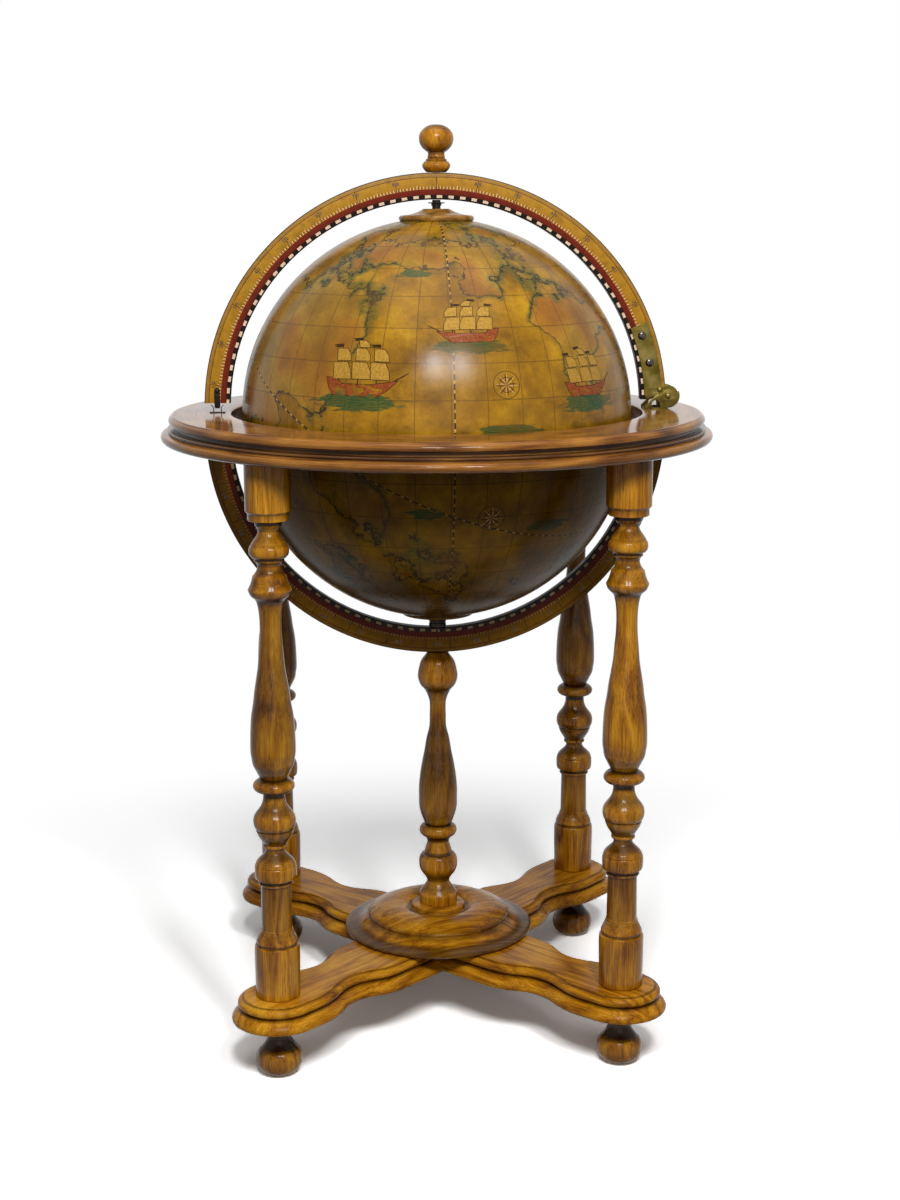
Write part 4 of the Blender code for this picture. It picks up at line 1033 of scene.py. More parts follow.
# Varnished map paper on a moulded shell: ochre sea, tan and orange land, ink coasts with a green
# wash, a fine net of lines, all from noise and angles, with no lettering. Noise scales are per
# radius, so 6 gives blotches of about 33 mm and 90 fibres of about 2 mm.
def mapPaper(name, centre, specular):
    material, tree, shader, place = startMaterial(name)
    radius = globe["radius"] * mm
    moved = addNode(tree, "Mapping", {"Vector": place, "Location": (0, 0, -centre * mm)})
    way = addNode(tree, "VectorMath", {0: moved}, operation="NORMALIZE")
    x, y, z = addNode(tree, "SeparateXYZ", {0: way}).outputs
    east = addNode(tree, "Math", {0: y, 1: x}, operation="ARCTAN2")
    north = addNode(tree, "Math", {0: z}, operation="ARCSINE")
    level = addNode(tree, "Math", {0: north}, operation="COSINE")

    # land where a rough noise, helped by a few chosen rises and hollows, is high
    field = addNode(tree, "TexNoise", {"Vector": way, "Scale": 2.1, "Detail": 9, "Roughness": 0.53,
                                       "Lacunarity": 2.2})
    for spot, reach, weight in mapRises:
        toward = addNode(tree, "VectorMath", {0: way, 1: axesAt(spot)[2]}, operation="DOT_PRODUCT")
        rise = addNode(tree, "MapRange", {0: toward, 1: math.cos(math.radians(reach)), 2: 1, 3: 0,
                                          4: weight}, interpolation_type="SMOOTHSTEP")
        field = addNode(tree, "Math", {0: field, 1: rise}, operation="ADD")
    shore = addNode(tree, "Math", {0: field, 1: 0.575}, operation="SUBTRACT")
    land = addNode(tree, "MapRange", {0: shore, 1: -0.002, 2: 0.002, 3: 0, 4: 1})
    offShore = addNode(tree, "Math", {0: shore}, operation="ABSOLUTE")
    blotch = addNode(tree, "TexNoise", {"Vector": way, "Scale": 6, "Detail": 6, "Roughness": 0.6})
    fibre = addNode(tree, "TexNoise", {"Vector": way, "Scale": 90, "Detail": 5, "Roughness": 0.7})
    region = addNode(tree, "TexNoise", {"Vector": way, "Scale": 4.3, "Detail": 1})
    sea = addNode(tree, "ValToRGB", {0: blotch},
                  stops=[(0.32, "#6A480A"), (0.5, "#90660E"), (0.68, "#AC8016")])
    ground = addNode(tree, "ValToRGB", {0: region},
                     stops=[(0.34, "#8C6818"), (0.46, "#A07A22"), (0.56, "#A2701F"), (0.68, "#8E5A18")])
    paper = addNode(tree, "Mix", {0: land, 6: sea, 7: ground}, data_type="RGBA")

    # strokes of the green wash, the waves' ragged edge and the hachures
    strokes = []
    for scale, detail, roughness in (
        ((30, 30, 120), 4, 0.5), ((14, 14, 60), 4, 0.5), ((60, 60, 22), 6, 0.7),
    ):
        stretched = addNode(tree, "Mapping", {"Vector": way, "Scale": scale})
        strokes.append(addNode(tree, "TexNoise", {"Vector": stretched, "Scale": 1, "Detail": detail,
                                                  "Roughness": roughness}))
    washStroke, waveEdge, hatch = strokes

    # green wash along the coasts, broken into short strokes, then the coasts in ink
    washWide = addNode(tree, "MapRange", {0: offShore, 1: 0.006, 2: 0.050, 3: 1, 4: 0})
    washPatch = addNode(tree, "TexNoise", {"Vector": way, "Scale": 3.4, "Detail": 3})
    washHere = addNode(tree, "MapRange", {0: washPatch, 1: 0.42, 2: 0.56, 3: 0.1, 4: 1})
    washRough = addNode(tree, "MapRange", {0: washStroke, 1: 0.3, 2: 0.6, 3: 0.35, 4: 1})
    wash = addNode(tree, "Math", {0: washWide, 1: washHere}, operation="MULTIPLY")
    wash = addNode(tree, "Math", {0: wash, 1: washRough}, operation="MULTIPLY")
    paper = addNode(tree, "Mix", {0: wash, 6: paper, 7: "#324A1E"}, data_type="RGBA")
    coast = addNode(tree, "MapRange", {0: offShore, 1: 0.0040, 2: 0.0085, 3: 0.95, 4: 0})
    paper = addNode(tree, "Mix", {0: coast, 6: paper, 7: "#2C2010"}, data_type="RGBA")

    # hachures and small marks on land
    hatchLine = addNode(tree, "MapRange", {0: hatch, 1: 0.56, 2: 0.66, 3: 0, 4: 0.6})
    hatchHere = addNode(tree, "Math", {0: hatchLine, 1: land}, operation="MULTIPLY")
    paper = addNode(tree, "Mix", {0: hatchHere, 6: paper, 7: "#7A4A1C"}, data_type="RGBA")

    # net of lines every 10 degrees, about 1 mm wide with their soft edges
    inked = []
    for angle, shrink in ((east, level), (north, 1)):
        cell = addNode(tree, "Math", {0: angle, 1: 18 / math.pi}, operation="MULTIPLY")
        part = addNode(tree, "Math", {0: cell, 1: 0.5}, operation="PINGPONG")
        away = addNode(tree, "Math", {0: part, 1: radius * math.pi / 18}, operation="MULTIPLY")
        away = addNode(tree, "Math", {0: away, 1: shrink}, operation="MULTIPLY")
        inked.append(addNode(tree, "MapRange", {0: away, 1: 0.25 * mm, 2: 0.6 * mm, 3: 0.72, 4: 0}))
    net = addNode(tree, "Math", {0: inked[0], 1: inked[1]}, operation="MAXIMUM")
    paper = addNode(tree, "Mix", {0: net, 6: paper, 7: "#4E3410"}, data_type="RGBA")

    # two dashed lines: one meridian, and one great circle that leans across it
    for normal, along in mapDashes:
        normal, start = Vector(normal).normalized(), Vector(along).normalized()
        off, c, s = [addNode(tree, "VectorMath", {0: way, 1: axis}, operation="DOT_PRODUCT")
                     for axis in (normal, start, normal.cross(start))]
        near = addNode(tree, "Math", {0: off}, operation="ABSOLUTE")
        line = addNode(tree, "MapRange", {0: near, 1: 0.0030, 2: 0.0042, 3: 1, 4: 0})
        turn = addNode(tree, "Math", {0: s, 1: c}, operation="ARCTAN2")
        cell = addNode(tree, "Math", {0: turn, 1: 180 / math.pi / 2.6}, operation="MULTIPLY")
        part = addNode(tree, "Math", {0: cell}, operation="FRACT")
        isDark = addNode(tree, "Math", {0: part, 1: 0.66}, operation="LESS_THAN")
        tone = addNode(tree, "Mix", {0: isDark, 6: "#B8944E", 7: "#1E1407"}, data_type="RGBA")
        paper = addNode(tree, "Mix", {0: line, 6: paper, 7: tone}, data_type="RGBA")

    # green waves, hatched level every 1.7 mm, under the ships and between them
    levels = addNode(tree, "Math", {0: north, 1: radius / (1.7 * mm)}, operation="MULTIPLY")
    sway = addNode(tree, "Math", {0: waveEdge, 1: 3.0, 2: levels}, operation="MULTIPLY_ADD")
    beat = addNode(tree, "Math", {0: sway, 1: 0.5}, operation="PINGPONG")
    waveLine = addNode(tree, "MapRange", {0: beat, 1: 0.08, 2: 0.34, 3: 1.0, 4: 0.72})
    for spot, width, height in mapWaves:
        u, v, facing = [addNode(tree, "VectorMath", {0: way, 1: axis}, operation="DOT_PRODUCT")
                        for axis in axesAt(spot)]
        u = addNode(tree, "Math", {0: u, 1: radius / (width * mm)}, operation="MULTIPLY")
        v = addNode(tree, "Math", {0: v, 1: radius / (height * mm)}, operation="MULTIPLY")
        flat = addNode(tree, "CombineXYZ", {0: u, 1: v})
        out = addNode(tree, "VectorMath", {0: flat}, operation="LENGTH")
        ragged = addNode(tree, "Math", {0: waveEdge, 1: 1.6, 2: out}, operation="MULTIPLY_ADD")
        inside = addNode(tree, "MapRange", {0: ragged, 1: 1.62, 2: 1.82, 3: 1, 4: 0})
        front = addNode(tree, "Math", {0: facing, 1: 0.5}, operation="GREATER_THAN")
        here = addNode(tree, "Math", {0: inside, 1: front}, operation="MULTIPLY")
        here = addNode(tree, "Math", {0: here, 1: waveLine}, operation="MULTIPLY")
        paper = addNode(tree, "Mix", {0: here, 6: paper, 7: "#1C4420"}, data_type="RGBA")

    # compass roses: eight points, each half dark, in two rings
    for spot, size in mapRoses:
        u, v, facing = [addNode(tree, "VectorMath", {0: way, 1: axis}, operation="DOT_PRODUCT")
                        for axis in axesAt(spot)]
        front = addNode(tree, "Math", {0: facing, 1: 0.5}, operation="GREATER_THAN")
        flat = addNode(tree, "CombineXYZ", {0: u, 1: v})
        out = addNode(tree, "VectorMath", {0: flat}, operation="LENGTH")
        out = addNode(tree, "Math", {0: out, 1: radius / (size * mm)}, operation="MULTIPLY")
        turn = addNode(tree, "Math", {0: v, 1: u}, operation="ARCTAN2")
        eighths = addNode(tree, "Math", {0: turn, 1: 4 / math.pi}, operation="MULTIPLY")
        off = addNode(tree, "Math", {0: eighths, 1: 0.5}, operation="PINGPONG")
        edge = addNode(tree, "MapRange", {0: off, 1: 0, 2: 0.5, 3: 0.92, 4: 0.22})
        star = addNode(tree, "Math", {0: out, 1: edge}, operation="LESS_THAN")
        half = addNode(tree, "Math", {0: eighths}, operation="FRACT")
        dark = addNode(tree, "Math", {0: half, 1: 0.5}, operation="LESS_THAN")
        tone = addNode(tree, "Mix", {0: dark, 6: "#C8A050", 7: "#5A2412"}, data_type="RGBA")
        drawn = [(star, tone)]
        for ring in (0.55, 1.0):
            near = addNode(tree, "Math", {0: out, 1: ring, 2: 0.028}, operation="COMPARE")
            drawn.append((near, "#33200C"))
        for mark, colour in drawn:
            here = addNode(tree, "Math", {0: mark, 1: front}, operation="MULTIPLY")
            paper = addNode(tree, "Mix", {0: here, 6: paper, 7: colour}, data_type="RGBA")

    # age: brown mottling and stains; then painted shade that darkens the lower half, most of all just under
    # the table, a painted shadow
    mottle = addNode(tree, "ValToRGB", {0: fibre}, stops=[(0.3, 0.66), (0.55, 1.0)])
    paper = addNode(tree, "Mix", {0: 0.7, 6: paper, 7: mottle}, data_type="RGBA", blend_type="MULTIPLY")
    darkening = addNode(tree, "TexNoise", {"Vector": way, "Scale": 2.6, "Detail": 5, "Roughness": 0.62})
    stainHere = addNode(tree, "MapRange", {0: darkening, 1: 0.46, 2: 0.70, 3: 0, 4: 0.7})
    paper = addNode(tree, "Mix", {0: stainHere, 6: paper, 7: "#664414"}, data_type="RGBA")
    rise = addNode(tree, "Math", {0: z, 1: 0.5, 2: 0.5}, operation="MULTIPLY_ADD")
    # painted shade and painted shadow: the bowl darker downwards and darkest just below the parting, under
    # the table; the dome stays as it is
    falloff = addNode(tree, "ValToRGB", {0: rise}, stops=[
        (0.05, 0.5), (0.25, 0.74), (0.38, 0.68), (0.47, 0.42), (0.49, 0.42), (0.50, 1.0)])
    paper = addNode(tree, "Mix", {0: 1.0, 6: paper, 7: falloff}, data_type="RGBA", blend_type="MULTIPLY")
    dull = addNode(tree, "MapRange", {0: blotch, 1: 0.3, 2: 0.7, 3: 0.21, 4: 0.27})
    relief = addNode(tree, "Bump", {"Height": fibre, "Strength": 0.2, "Distance": 0.3 * mm})
    giveInputs(tree, shader, {"Base Color": paper, "Roughness": dull, "Normal": relief,
                              "Specular IOR Level": specular})
    return material


# Plain paper lining inside the shells: pale brown, matt
def liningPaper():
    material, tree, shader, place = startMaterial("plainLiningPaper")
    cloud = addNode(tree, "TexNoise", {"Vector": place, "Scale": 1 / (30 * mm), "Detail": 6})
    colour = addNode(tree, "ValToRGB", {0: cloud}, stops=[(0.35, "#A98A58"), (0.65, "#C9AD7C")])
    fibre = addNode(tree, "TexNoise", {"Vector": place, "Scale": 1 / (1.2 * mm), "Detail": 3})
    relief = addNode(tree, "Bump", {"Height": fibre, "Strength": 0.1, "Distance": 0.2 * mm})
    giveInputs(tree, shader, {"Base Color": colour, "Roughness": 0.6, "Normal": relief})
    return material


domePaper = mapPaper("varnishedMapPaperDome", globe["domeHeight"], 0.17)
bowlPaper = mapPaper("varnishedMapPaperBowl", globe["bowlHeight"], 0.04)
lining = liningPaper()


def makeShell(name, way, centre, material, body, node):
    # the way is 1 for the dome and -1 for the bowl
    outer, inner, corner = globe["radius"], globe["radius"] - globe["wall"], shells["lipCorner"]
    lip = globe["parting"] + way * globe["partingGap"] / 2
    rise = lip + way * shells["lipRise"]
    outline = arcPoints((0, centre), outer, 90 * way, 0, shells["outerPoints"])
    outline += [(outer, rise), (outer - corner, lip), (inner + corner, lip), (inner, rise)]
    outline += arcPoints((0, centre), inner, 0, 90 * way, shells["innerPoints"])
    outline[0] = (0, centre + way * outer)
    outline[-1] = (0, centre + way * inner)
    piece = turnOnLathe(name, [(r * mm, h * mm) for r, h in outline], shells["steps"])
    hand(piece, material, body, "globe_print", node)
    piece.data.materials.append(lining)
    limit = (outer - globe["wall"] / 2) * mm
    for face in piece.data.polygons:
        spot = face.center - Vector((0, 0, centre * mm))
        if spot.length < limit and abs(face.normal.z) < 0.999:
            face.material_index = 1


# a plain three-master in mm: hull, sails, pennants and masts
ship = {
    "hull": [(-16, 3.6), (-14.5, -1), (-12, -4.2), (10, -4.6), (14.5, -1.5), (18.5, 2.6), (13, 1.6),
             (6, 0.4), (-8, 0.6), (-11, 3.2)],
    # each mast's place, height and number of sails
    "masts": [(-9.5, 19.5, 2), (0.0, 22.5, 3), (9.0, 19.5, 2)],
    "pennant": [(0, 0), (-5.2, -0.4), (-3.4, -1.1), (-5.0, -1.8), (0, -1.6)],
    "bowsprit": [(17.5, 2.4), (24, 6.6), (23.8, 7), (17.3, 3)],
    # each sail's foot, head, half width at the foot and at the head
    "sails": [(3.0, 10.5, 4.3, 3.5), (11.4, 17.0, 3.4, 2.5), (17.8, 21.0, 2.3, 1.7)],
    "belly": 1.6,
    "ink": 0.32,           # width of the drawn outline
    "mastHalf": (0.3, 0.2),
    # height of the outline over the shell, how many times as high each layer lies, and the step
    # between two shapes of a layer
    "lift": 0.05,
    "layers": {"Outline": 1, "Rigging": 1.6, "Sails": 2.2, "Hull": 2.2},
    "liftStep": 0.004,
    "thick": 0.01,
}


def shipShapes():
    sails, lines = [], []
    for mast, tall, count in ship["masts"]:
        foot, head = ship["mastHalf"]
        lines.append([(mast - foot, 0), (mast + foot, 0), (mast + head, tall), (mast - head, tall)])
        lines.append([(mast + x, tall + y) for x, y in ship["pennant"]])
        for low, high, wide, narrow in ship["sails"][:count]:
            belly = ship["belly"]
            sails.append([(mast - wide + belly, low), (mast - narrow, high), (mast + narrow, high),
                          (mast + wide * 0.5 + narrow * 0.5 + belly, (low + high) / 2),
                          (mast + wide + belly, low)])
    lines.append(ship["bowsprit"])
    return sails, lines


def grown(ring, by):
    # the ring moved out by a width
    area = sum(a[0] * b[1] - b[0] * a[1] for a, b in zip(ring, ring[1:] + ring[:1]))
    return movedIn(ring if area > 0 else ring[::-1], -by)


def printOnGlobe(name, rings, spot, size, way, lift, material):
    # flat shapes in mm, cut fine and laid on the sphere round a spot
    rings = [[(x * way * size, y * size) for x, y in ring] for ring in rings]
    piece = flatMesh(name, rings, ship["thick"])
    openUp(piece)
    bpy.ops.mesh.remove_doubles(threshold=0.002 * mm)
    bpy.ops.mesh.quads_convert_to_tris()
    bpy.ops.mesh.subdivide(number_cuts=2)
    bpy.ops.mesh.normals_make_consistent(inside=False)
    pickOnly()
    eastward, northward, outward = axesAt(spot)
    radius = globe["radius"] * mm
    centre = Vector((0, 0, globe["domeHeight"] * mm))
    for vertex in piece.data.vertices:
        flat = vertex.co.copy()
        toward = (outward * radius + eastward * flat.x + northward * flat.y).normalized()
        vertex.co = centre + toward * (radius + lift * mm + flat.z)
    piece.data.materials.append(material)
    return piece


def makeShips():
    inks = []
    for name, dark, light in (
        ("shipLineInk", "#241505", "#3E2810"), ("shipSailInk", "#94702A", "#AC8436"),
        ("shipHullInk", "#6E3414", "#8E4A22"),
    ):
        inks.append(printingInk(name, 1.8, 4, [(0.4, dark), (0.62, light)], 0.3, 0.09))
    lineInk, sailInk, hullInk = inks
    hull = ship["hull"]
    sails, lines = shipShapes()
    inked = [[grown(ring, ship["ink"])] for ring in [hull] + sails]
    for i, (spot, size, way) in enumerate(mapShips):
        drawn = []
        for part, groups, material in (
            ("Outline", inked, lineInk), ("Rigging", [[line] for line in lines], lineInk),
            ("Sails", [sails], sailInk), ("Hull", [[hull]], hullInk),
        ):
            for j, rings in enumerate(groups):
                lift = ship["lift"] * ship["layers"][part] + ship["liftStep"] * j
                drawn.append(printOnGlobe(part, rings, spot, size, way, lift, material))
        piece = joinAll(f"printedShip{i + 1}", drawn)
        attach(piece, "dome")


makeShell("globeDome", 1, globe["domeHeight"], domePaper, "dome", "dome_shell")
makeShell("globeBowl", -1, globe["bowlHeight"], bowlPaper, "bowl", "bowl_shell")
makeShips()
print("globe halves made")


# Turned caps and their pivots

caps = {
    "steps": 72,
    "radius": 37.9,
    "bore": 4.7,
    "seat": 200.3,
    "seatPoints": 8,
    # height of the rim, radius and height of the boss
    "dome": (5.8, 14, 6.4),
    "bowl": (3.5, 11.5, 6.0),
}


def capOutline(centre, way, rimHeight, bossRadius, bossHeight):
    seat, wide, bore = caps["seat"], caps["radius"], caps["bore"]
    base = math.sqrt(seat ** 2 - wide ** 2)
    rimTop = base + rimHeight
    bossTop = rimTop + bossHeight
    rounding = min(2, rimHeight * 0.36)
    runs = [
        [(bossTop, bore), (bossTop, bossRadius - 1)],
        [(bossTop - 0.2, bossRadius - 0.3), (bossTop - 0.9, bossRadius + 0.6),
         (rimTop + bossHeight * 0.46, bossRadius + 6), (rimTop + bossHeight * 0.14, wide - 11),
         (rimTop + 0.1, wide - 5)],
        [(rimTop - 0.3, wide - 4.4), (rimTop - 0.1, wide - rounding * 1.4),
         (rimTop - rounding * 0.4, wide - rounding * 0.5), (rimTop - rounding, wide),
         (base + rimHeight * 0.3, wide), (base + 0.7, wide - 0.5)],
        [(base + 0.1, wide - 1.2), (base + 0.45, wide - 2.4)],
    ]
    # hollow underneath, to sit on the shell
    under = []
    for i in range(caps["seatPoints"] + 1):
        radius = (wide - 3.6) + (bore - wide + 3.6) * i / caps["seatPoints"]
        under.append((math.sqrt(seat ** 2 - radius ** 2), radius))
    runs += [under, [(bossTop, bore)]]
    return [(radius, centre * mm + way * height) for radius, height in outlineOf(runs, 1.2)]


# top and bottom pins, as (height, radius) runs in mm
pins = {
    "steps": 40,
    "dome": [
        [(858, 0), (858, 4.3)], [(855.7, 4.3)], [(855.5, 8.2), (855, 8.6), (854.5, 8.2)],
        [(854.3, 5.2), (852.2, 5.2)], [(852, 4.3), (843.6, 4.3)], [(843.2, 3.9), (843.2, 0)],
    ],
    "bowl": [
        [(417.2, 0), (417.2, 4.3)], [(417.6, 4.3)], [(417.8, 8.6), (418.4, 9), (421.2, 9), (421.6, 8.6)],
        [(421.8, 8.2), (422.2, 8.2)], [(422.4, 8.6), (422.8, 9), (424.7, 9), (425.1, 8.6)],
        [(425.2, 4.3), (431.1, 4.3)], [(431.5, 3.9), (431.5, 0)],
    ],
}


def makeCaps():
    for half, centre, way in (("dome", globe["domeHeight"], 1), ("bowl", globe["bowlHeight"], -1)):
        piece = turnOnLathe(half + "CapTurned", capOutline(centre, way, *caps[half]), caps["steps"])
        hand(piece, capBeech, half, "stained_wood", half + "_cap")
    for name, half, body in (("topPivotPin", "dome", "lid"), ("bottomPivotPin", "bowl", "stand")):
        piece = turnOnLathe(name, outlineOf(pins[half]), pins["steps"])
        hand(piece, blackSteel, body, "dark_steel", half + "_pivot")


makeCaps()
print("caps and pivots turned")


# Rims, glass tray and bottle shelf inside the globe

barInside = {
    "steps": 144,
    "dome": [
        [(647.2, 181.6), (647.6, 182), (647.6, 195)], [(647, 195.6), (636.8, 195.6)],
        [(636.2, 195), (636.2, 182.2)], [(636.8, 181.6), (647.2, 181.6)],
    ],
    "bowl": [
        [(635.2, 181.1), (635.8, 181.7), (635.8, 194.5)], [(635.2, 195.1), (616.8, 195.1)],
        [(616.3, 194.6), (616.3, 174.7)], [(616.9, 174.1), (623.8, 174.1)],
        [(624.4, 174.7), (624.4, 181.1)], [(635.2, 181.1)],
    ],
    "trayRadius": 180.8,
    "trayMiddle": 628.75,
    "trayThickness": 8,
    "trayEdge": 1,
    "wellRadius": 84.3,
    "glasses": 6,
    "glassCircle": 134.3,
    "glassRadius": 30,
    "shelfRadius": 121.3,
    "shelfMiddle": 481.0,
    "shelfThickness": 6,
    "shelfEdge": 0.8,
    "fingerRadius": 12,
}


def makeInside():
    bar = barInside
    for half in ("dome", "bowl"):
        piece = turnOnLathe(half + "RimRing", outlineOf(bar[half]), bar["steps"])
        hand(piece, innerBeech, half, "inner_wood", half + "_rim")
    tray = [ringPoints((0, 0), bar["trayRadius"], 144), ringPoints((0, 0), bar["wellRadius"], 96)]
    for spot in arcPoints((0, 0), bar["glassCircle"], 30, 390, bar["glasses"])[:-1]:
        tray.append(ringPoints(spot, bar["glassRadius"], 64))
    shelf = [ringPoints((0, 0), bar["shelfRadius"], 144), ringPoints((0, 0), bar["fingerRadius"], 40)]
    for name, rings, key, node in (
        ("glassTray", tray, "tray", "glass_tray"), ("bottleShelf", shelf, "shelf", "bottle_shelf"),
    ):
        piece = plateOf(name, rings, bar[key + "Thickness"], bar[key + "Edge"])
        piece.data.transform(moveBy(0, 0, bar[key + "Middle"]))
        hand(piece, trayBeech, "bowl", "inner_wood", node)


makeInside()
print("bar inside made")


# Lid hinge

hinge = {
    "axis": (239.2, 659.1),
    "leafInner": 215.0,        # radii of the leaf's long sides round the upper arc's centre
    "leafOuter": 233.2,
    "leafTop": 81.5,           # rise of the leaf's top over the arc's centre
    "leafFoot": 9.0,
    "leafCorner": 5.0,
    "leafLobe": 11.0,
    "leafDepth": 7.8,
    "thickness": 2.0,
    "bracketLobe": 12.0,
    "bracketNeck": 7.0,
    "bracketDepth": 10.1,
    "bracketReach": 24.6,
    "bracketShoulder": 15.0,
    "bracketTip": 2.8,
    "seat": 645.8,
    "plate": 1.6,
    "notchAt": 226.3,
    "notchRise": 4.9,
    "notchRadius": 4.3,
    "stopAt": (230.8, 665.4),
    "pivotHole": 2.6,
    "stopHole": 2.2,
    "holeSteps": 24,
}


def leafRing():
    centre = (0, meridian["upperCentre"])
    inner, outer = hinge["leafInner"], hinge["leafOuter"]
    top = math.degrees(math.asin(hinge["leafTop"] / inner))
    foot = math.degrees(math.asin((hinge["leafFoot"] + hinge["leafCorner"]) / inner))
    down = arcPoints(centre, inner, top, foot, 24)
    corner = (down[-1][0] + hinge["leafCorner"], down[-1][1])
    rounded = arcPoints(corner, hinge["leafCorner"], 180, 270, 8)[1:]
    lobe = arcPoints(hinge["axis"], hinge["leafLobe"], 172, 472, 40)
    shoulder = math.degrees(math.asin((lobe[-1][1] - centre[1]) / outer))
    return down + rounded + lobe + arcPoints(centre, outer, shoulder, top, 24)


def cheekRing():
    x, base = hinge["axis"][0], hinge["seat"]
    left, notch, wide = x - hinge["bracketReach"], hinge["notchAt"], hinge["notchRadius"]
    ring = [(left, base), (notch - wide, base)]
    ring += arcPoints((notch, base + hinge["notchRise"]), wide, 180, 0, 16)
    ring += [(notch + wide, base), (x, base)]
    ring += arcPoints(hinge["axis"], hinge["bracketLobe"], -90, 25, 24)
    ring += arcPoints(hinge["axis"], hinge["bracketNeck"], 25, 158, 20)
    return ring + [(x - hinge["bracketLobe"], base + hinge["bracketShoulder"]),
                   (left, base + hinge["bracketTip"])]


def makeHinge():
    pivotHole = ringPoints(hinge["axis"], hinge["pivotHole"], hinge["holeSteps"])
    stopHole = ringPoints(hinge["stopAt"], hinge["stopHole"], hinge["holeSteps"])
    thick = hinge["thickness"]
    for side, way in sides:
        leaf = plateOf("hingeLeaf" + side, [leafRing(), pivotHole, stopHole], thick)
        standUp(leaf, way * hinge["leafDepth"])
        hand(leaf, brass, "lid", "brass", "hinge_leaf_" + side.lower())
    cheek = plateOf("hingeBracket", [cheekRing(), pivotHole], thick)
    far = copyTo(cheek, "farCheek")
    standUp(cheek, -hinge["bracketDepth"])
    standUp(far, hinge["bracketDepth"])
    x, seat, wide = hinge["axis"][0], hinge["seat"], hinge["bracketDepth"] + thick / 2 - 0.3
    floor = blockAt("bracketFloor", (x - hinge["bracketReach"] + 0.4, -wide, seat),
                    (x - 0.4, wide, seat + hinge["plate"]))
    cutWith(cheek, floor, "UNION")
    cutWith(cheek, far, "UNION")
    closeAndSmooth(cheek)
    hand(cheek, brass, "stand", "brass", "hinge_bracket")


rivets = {
    "steps": 32,
    "leafFace": 6.8,
    # shoulder where the head starts, head radius, head height, shank radius
    "pivot": (11.4, 3.0, 1.0, 2.2),
    "stop": (9.1, 2.8, 1.0, 1.8),
}


def makeRivets():
    for side, way in sides:
        for kind, at, body in (("pivot", hinge["axis"], "stand"), ("stop", hinge["stopAt"], "lid")):
            shoulder, head, rise, shank = rivets[kind]
            runs = [
                [(shoulder + rise, 0), (shoulder + rise * 0.95, head * 0.4),
                 (shoulder + rise * 0.6, head * 0.8), (shoulder + rise * 0.1, head)],
                [(shoulder, head - 0.05)], [(shoulder, shank)],
                [(rivets["leafFace"], shank), (rivets["leafFace"], 0)],
            ]
            piece = turnOnLathe(kind + "Rivet" + side, outlineOf(runs, 0.6), rivets["steps"])
            piece.data.transform(moveBy(at[0], 0, at[1]) @ turnBy(-way * 90, "X"))
            hand(piece, brass, body, "brass", f"hinge_{kind}_rivet_{side.lower()}")


# Screws of the leaves and of the bracket, which the solids leave out
screws = {
    "steps": 32,
    "leaf": [(211.0, 721.0), (219.3, 693.5)],
    "leafFace": 8.85,
    "leafHead": (4.3, 1.9),           # radius and rise of a head
    "leafTurns": (20, 53),            # how the slots of its cross stand
    "slotWidth": 1.0,
    "slotDepth": 1.1,
    "bracket": (226.3, 0, 647.5),
    "bracketHead": (3.4, 1.7, 40),    # radius, rise and turn of the cross
    "tongue": (-224.55, -8.85, 667.6),
    "tongueHead": (1.9, 0.9, 15),
}


def screwHead(name, radius, rise, slotTurn):
    runs = [
        [(rise, 0), (rise * 0.93, radius * 0.4), (rise * 0.66, radius * 0.76), (rise * 0.12, radius)],
        [(0, radius - 0.1), (0, 0)],
    ]
    piece = turnOnLathe(name, outlineOf(runs, 0.6), screws["steps"])
    width, depth, long = screws["slotWidth"] / 2, screws["slotDepth"], radius * 0.55
    for turn in (slotTurn, slotTurn + 90):
        cutWith(piece, blockAt("slot", (-long, -width, rise - depth), (long, width, rise + 1), turn))
    closeAndSmooth(piece)
    return piece


def makeScrews():
    for side, way in sides:
        for i, ((x, z), turn) in enumerate(zip(screws["leaf"], screws["leafTurns"])):
            piece = screwHead(f"leafScrew{side}{i + 1}", *screws["leafHead"], turn)
            piece.data.transform(moveBy(x, way * screws["leafFace"], z) @ turnBy(-way * 90, "X"))
            hand(piece, screwSteel, "lid", "dark_steel")
    piece = screwHead("bracketScrew", *screws["bracketHead"])
    piece.data.transform(moveBy(*screws["bracket"]))
    hand(piece, screwSteel, "stand", "dark_steel")


makeHinge()
makeRivets()
makeScrews()
print("hinge made")


# Spring catch opposite the hinge

catch = {
    "middle": -224.55,
    "depth": -7.8,
    "tongueHalf": 2.9,
    "tongueTop": 671.5,
    "tongueTip": 650.5,
    "tongueThickness": 2.0,
    "base": 645.8,
    "slotHalf": 3.4,
    "leaf": 0.8,              # thickness of the fork's two leaves
    "baseHalf": 8.0,
    "baseThickness": 1.2,
    "height": 8.2,
    "flare": 2.4,             # how far the leaves bow out at their tips
    "forkDepth": 5.0,
}


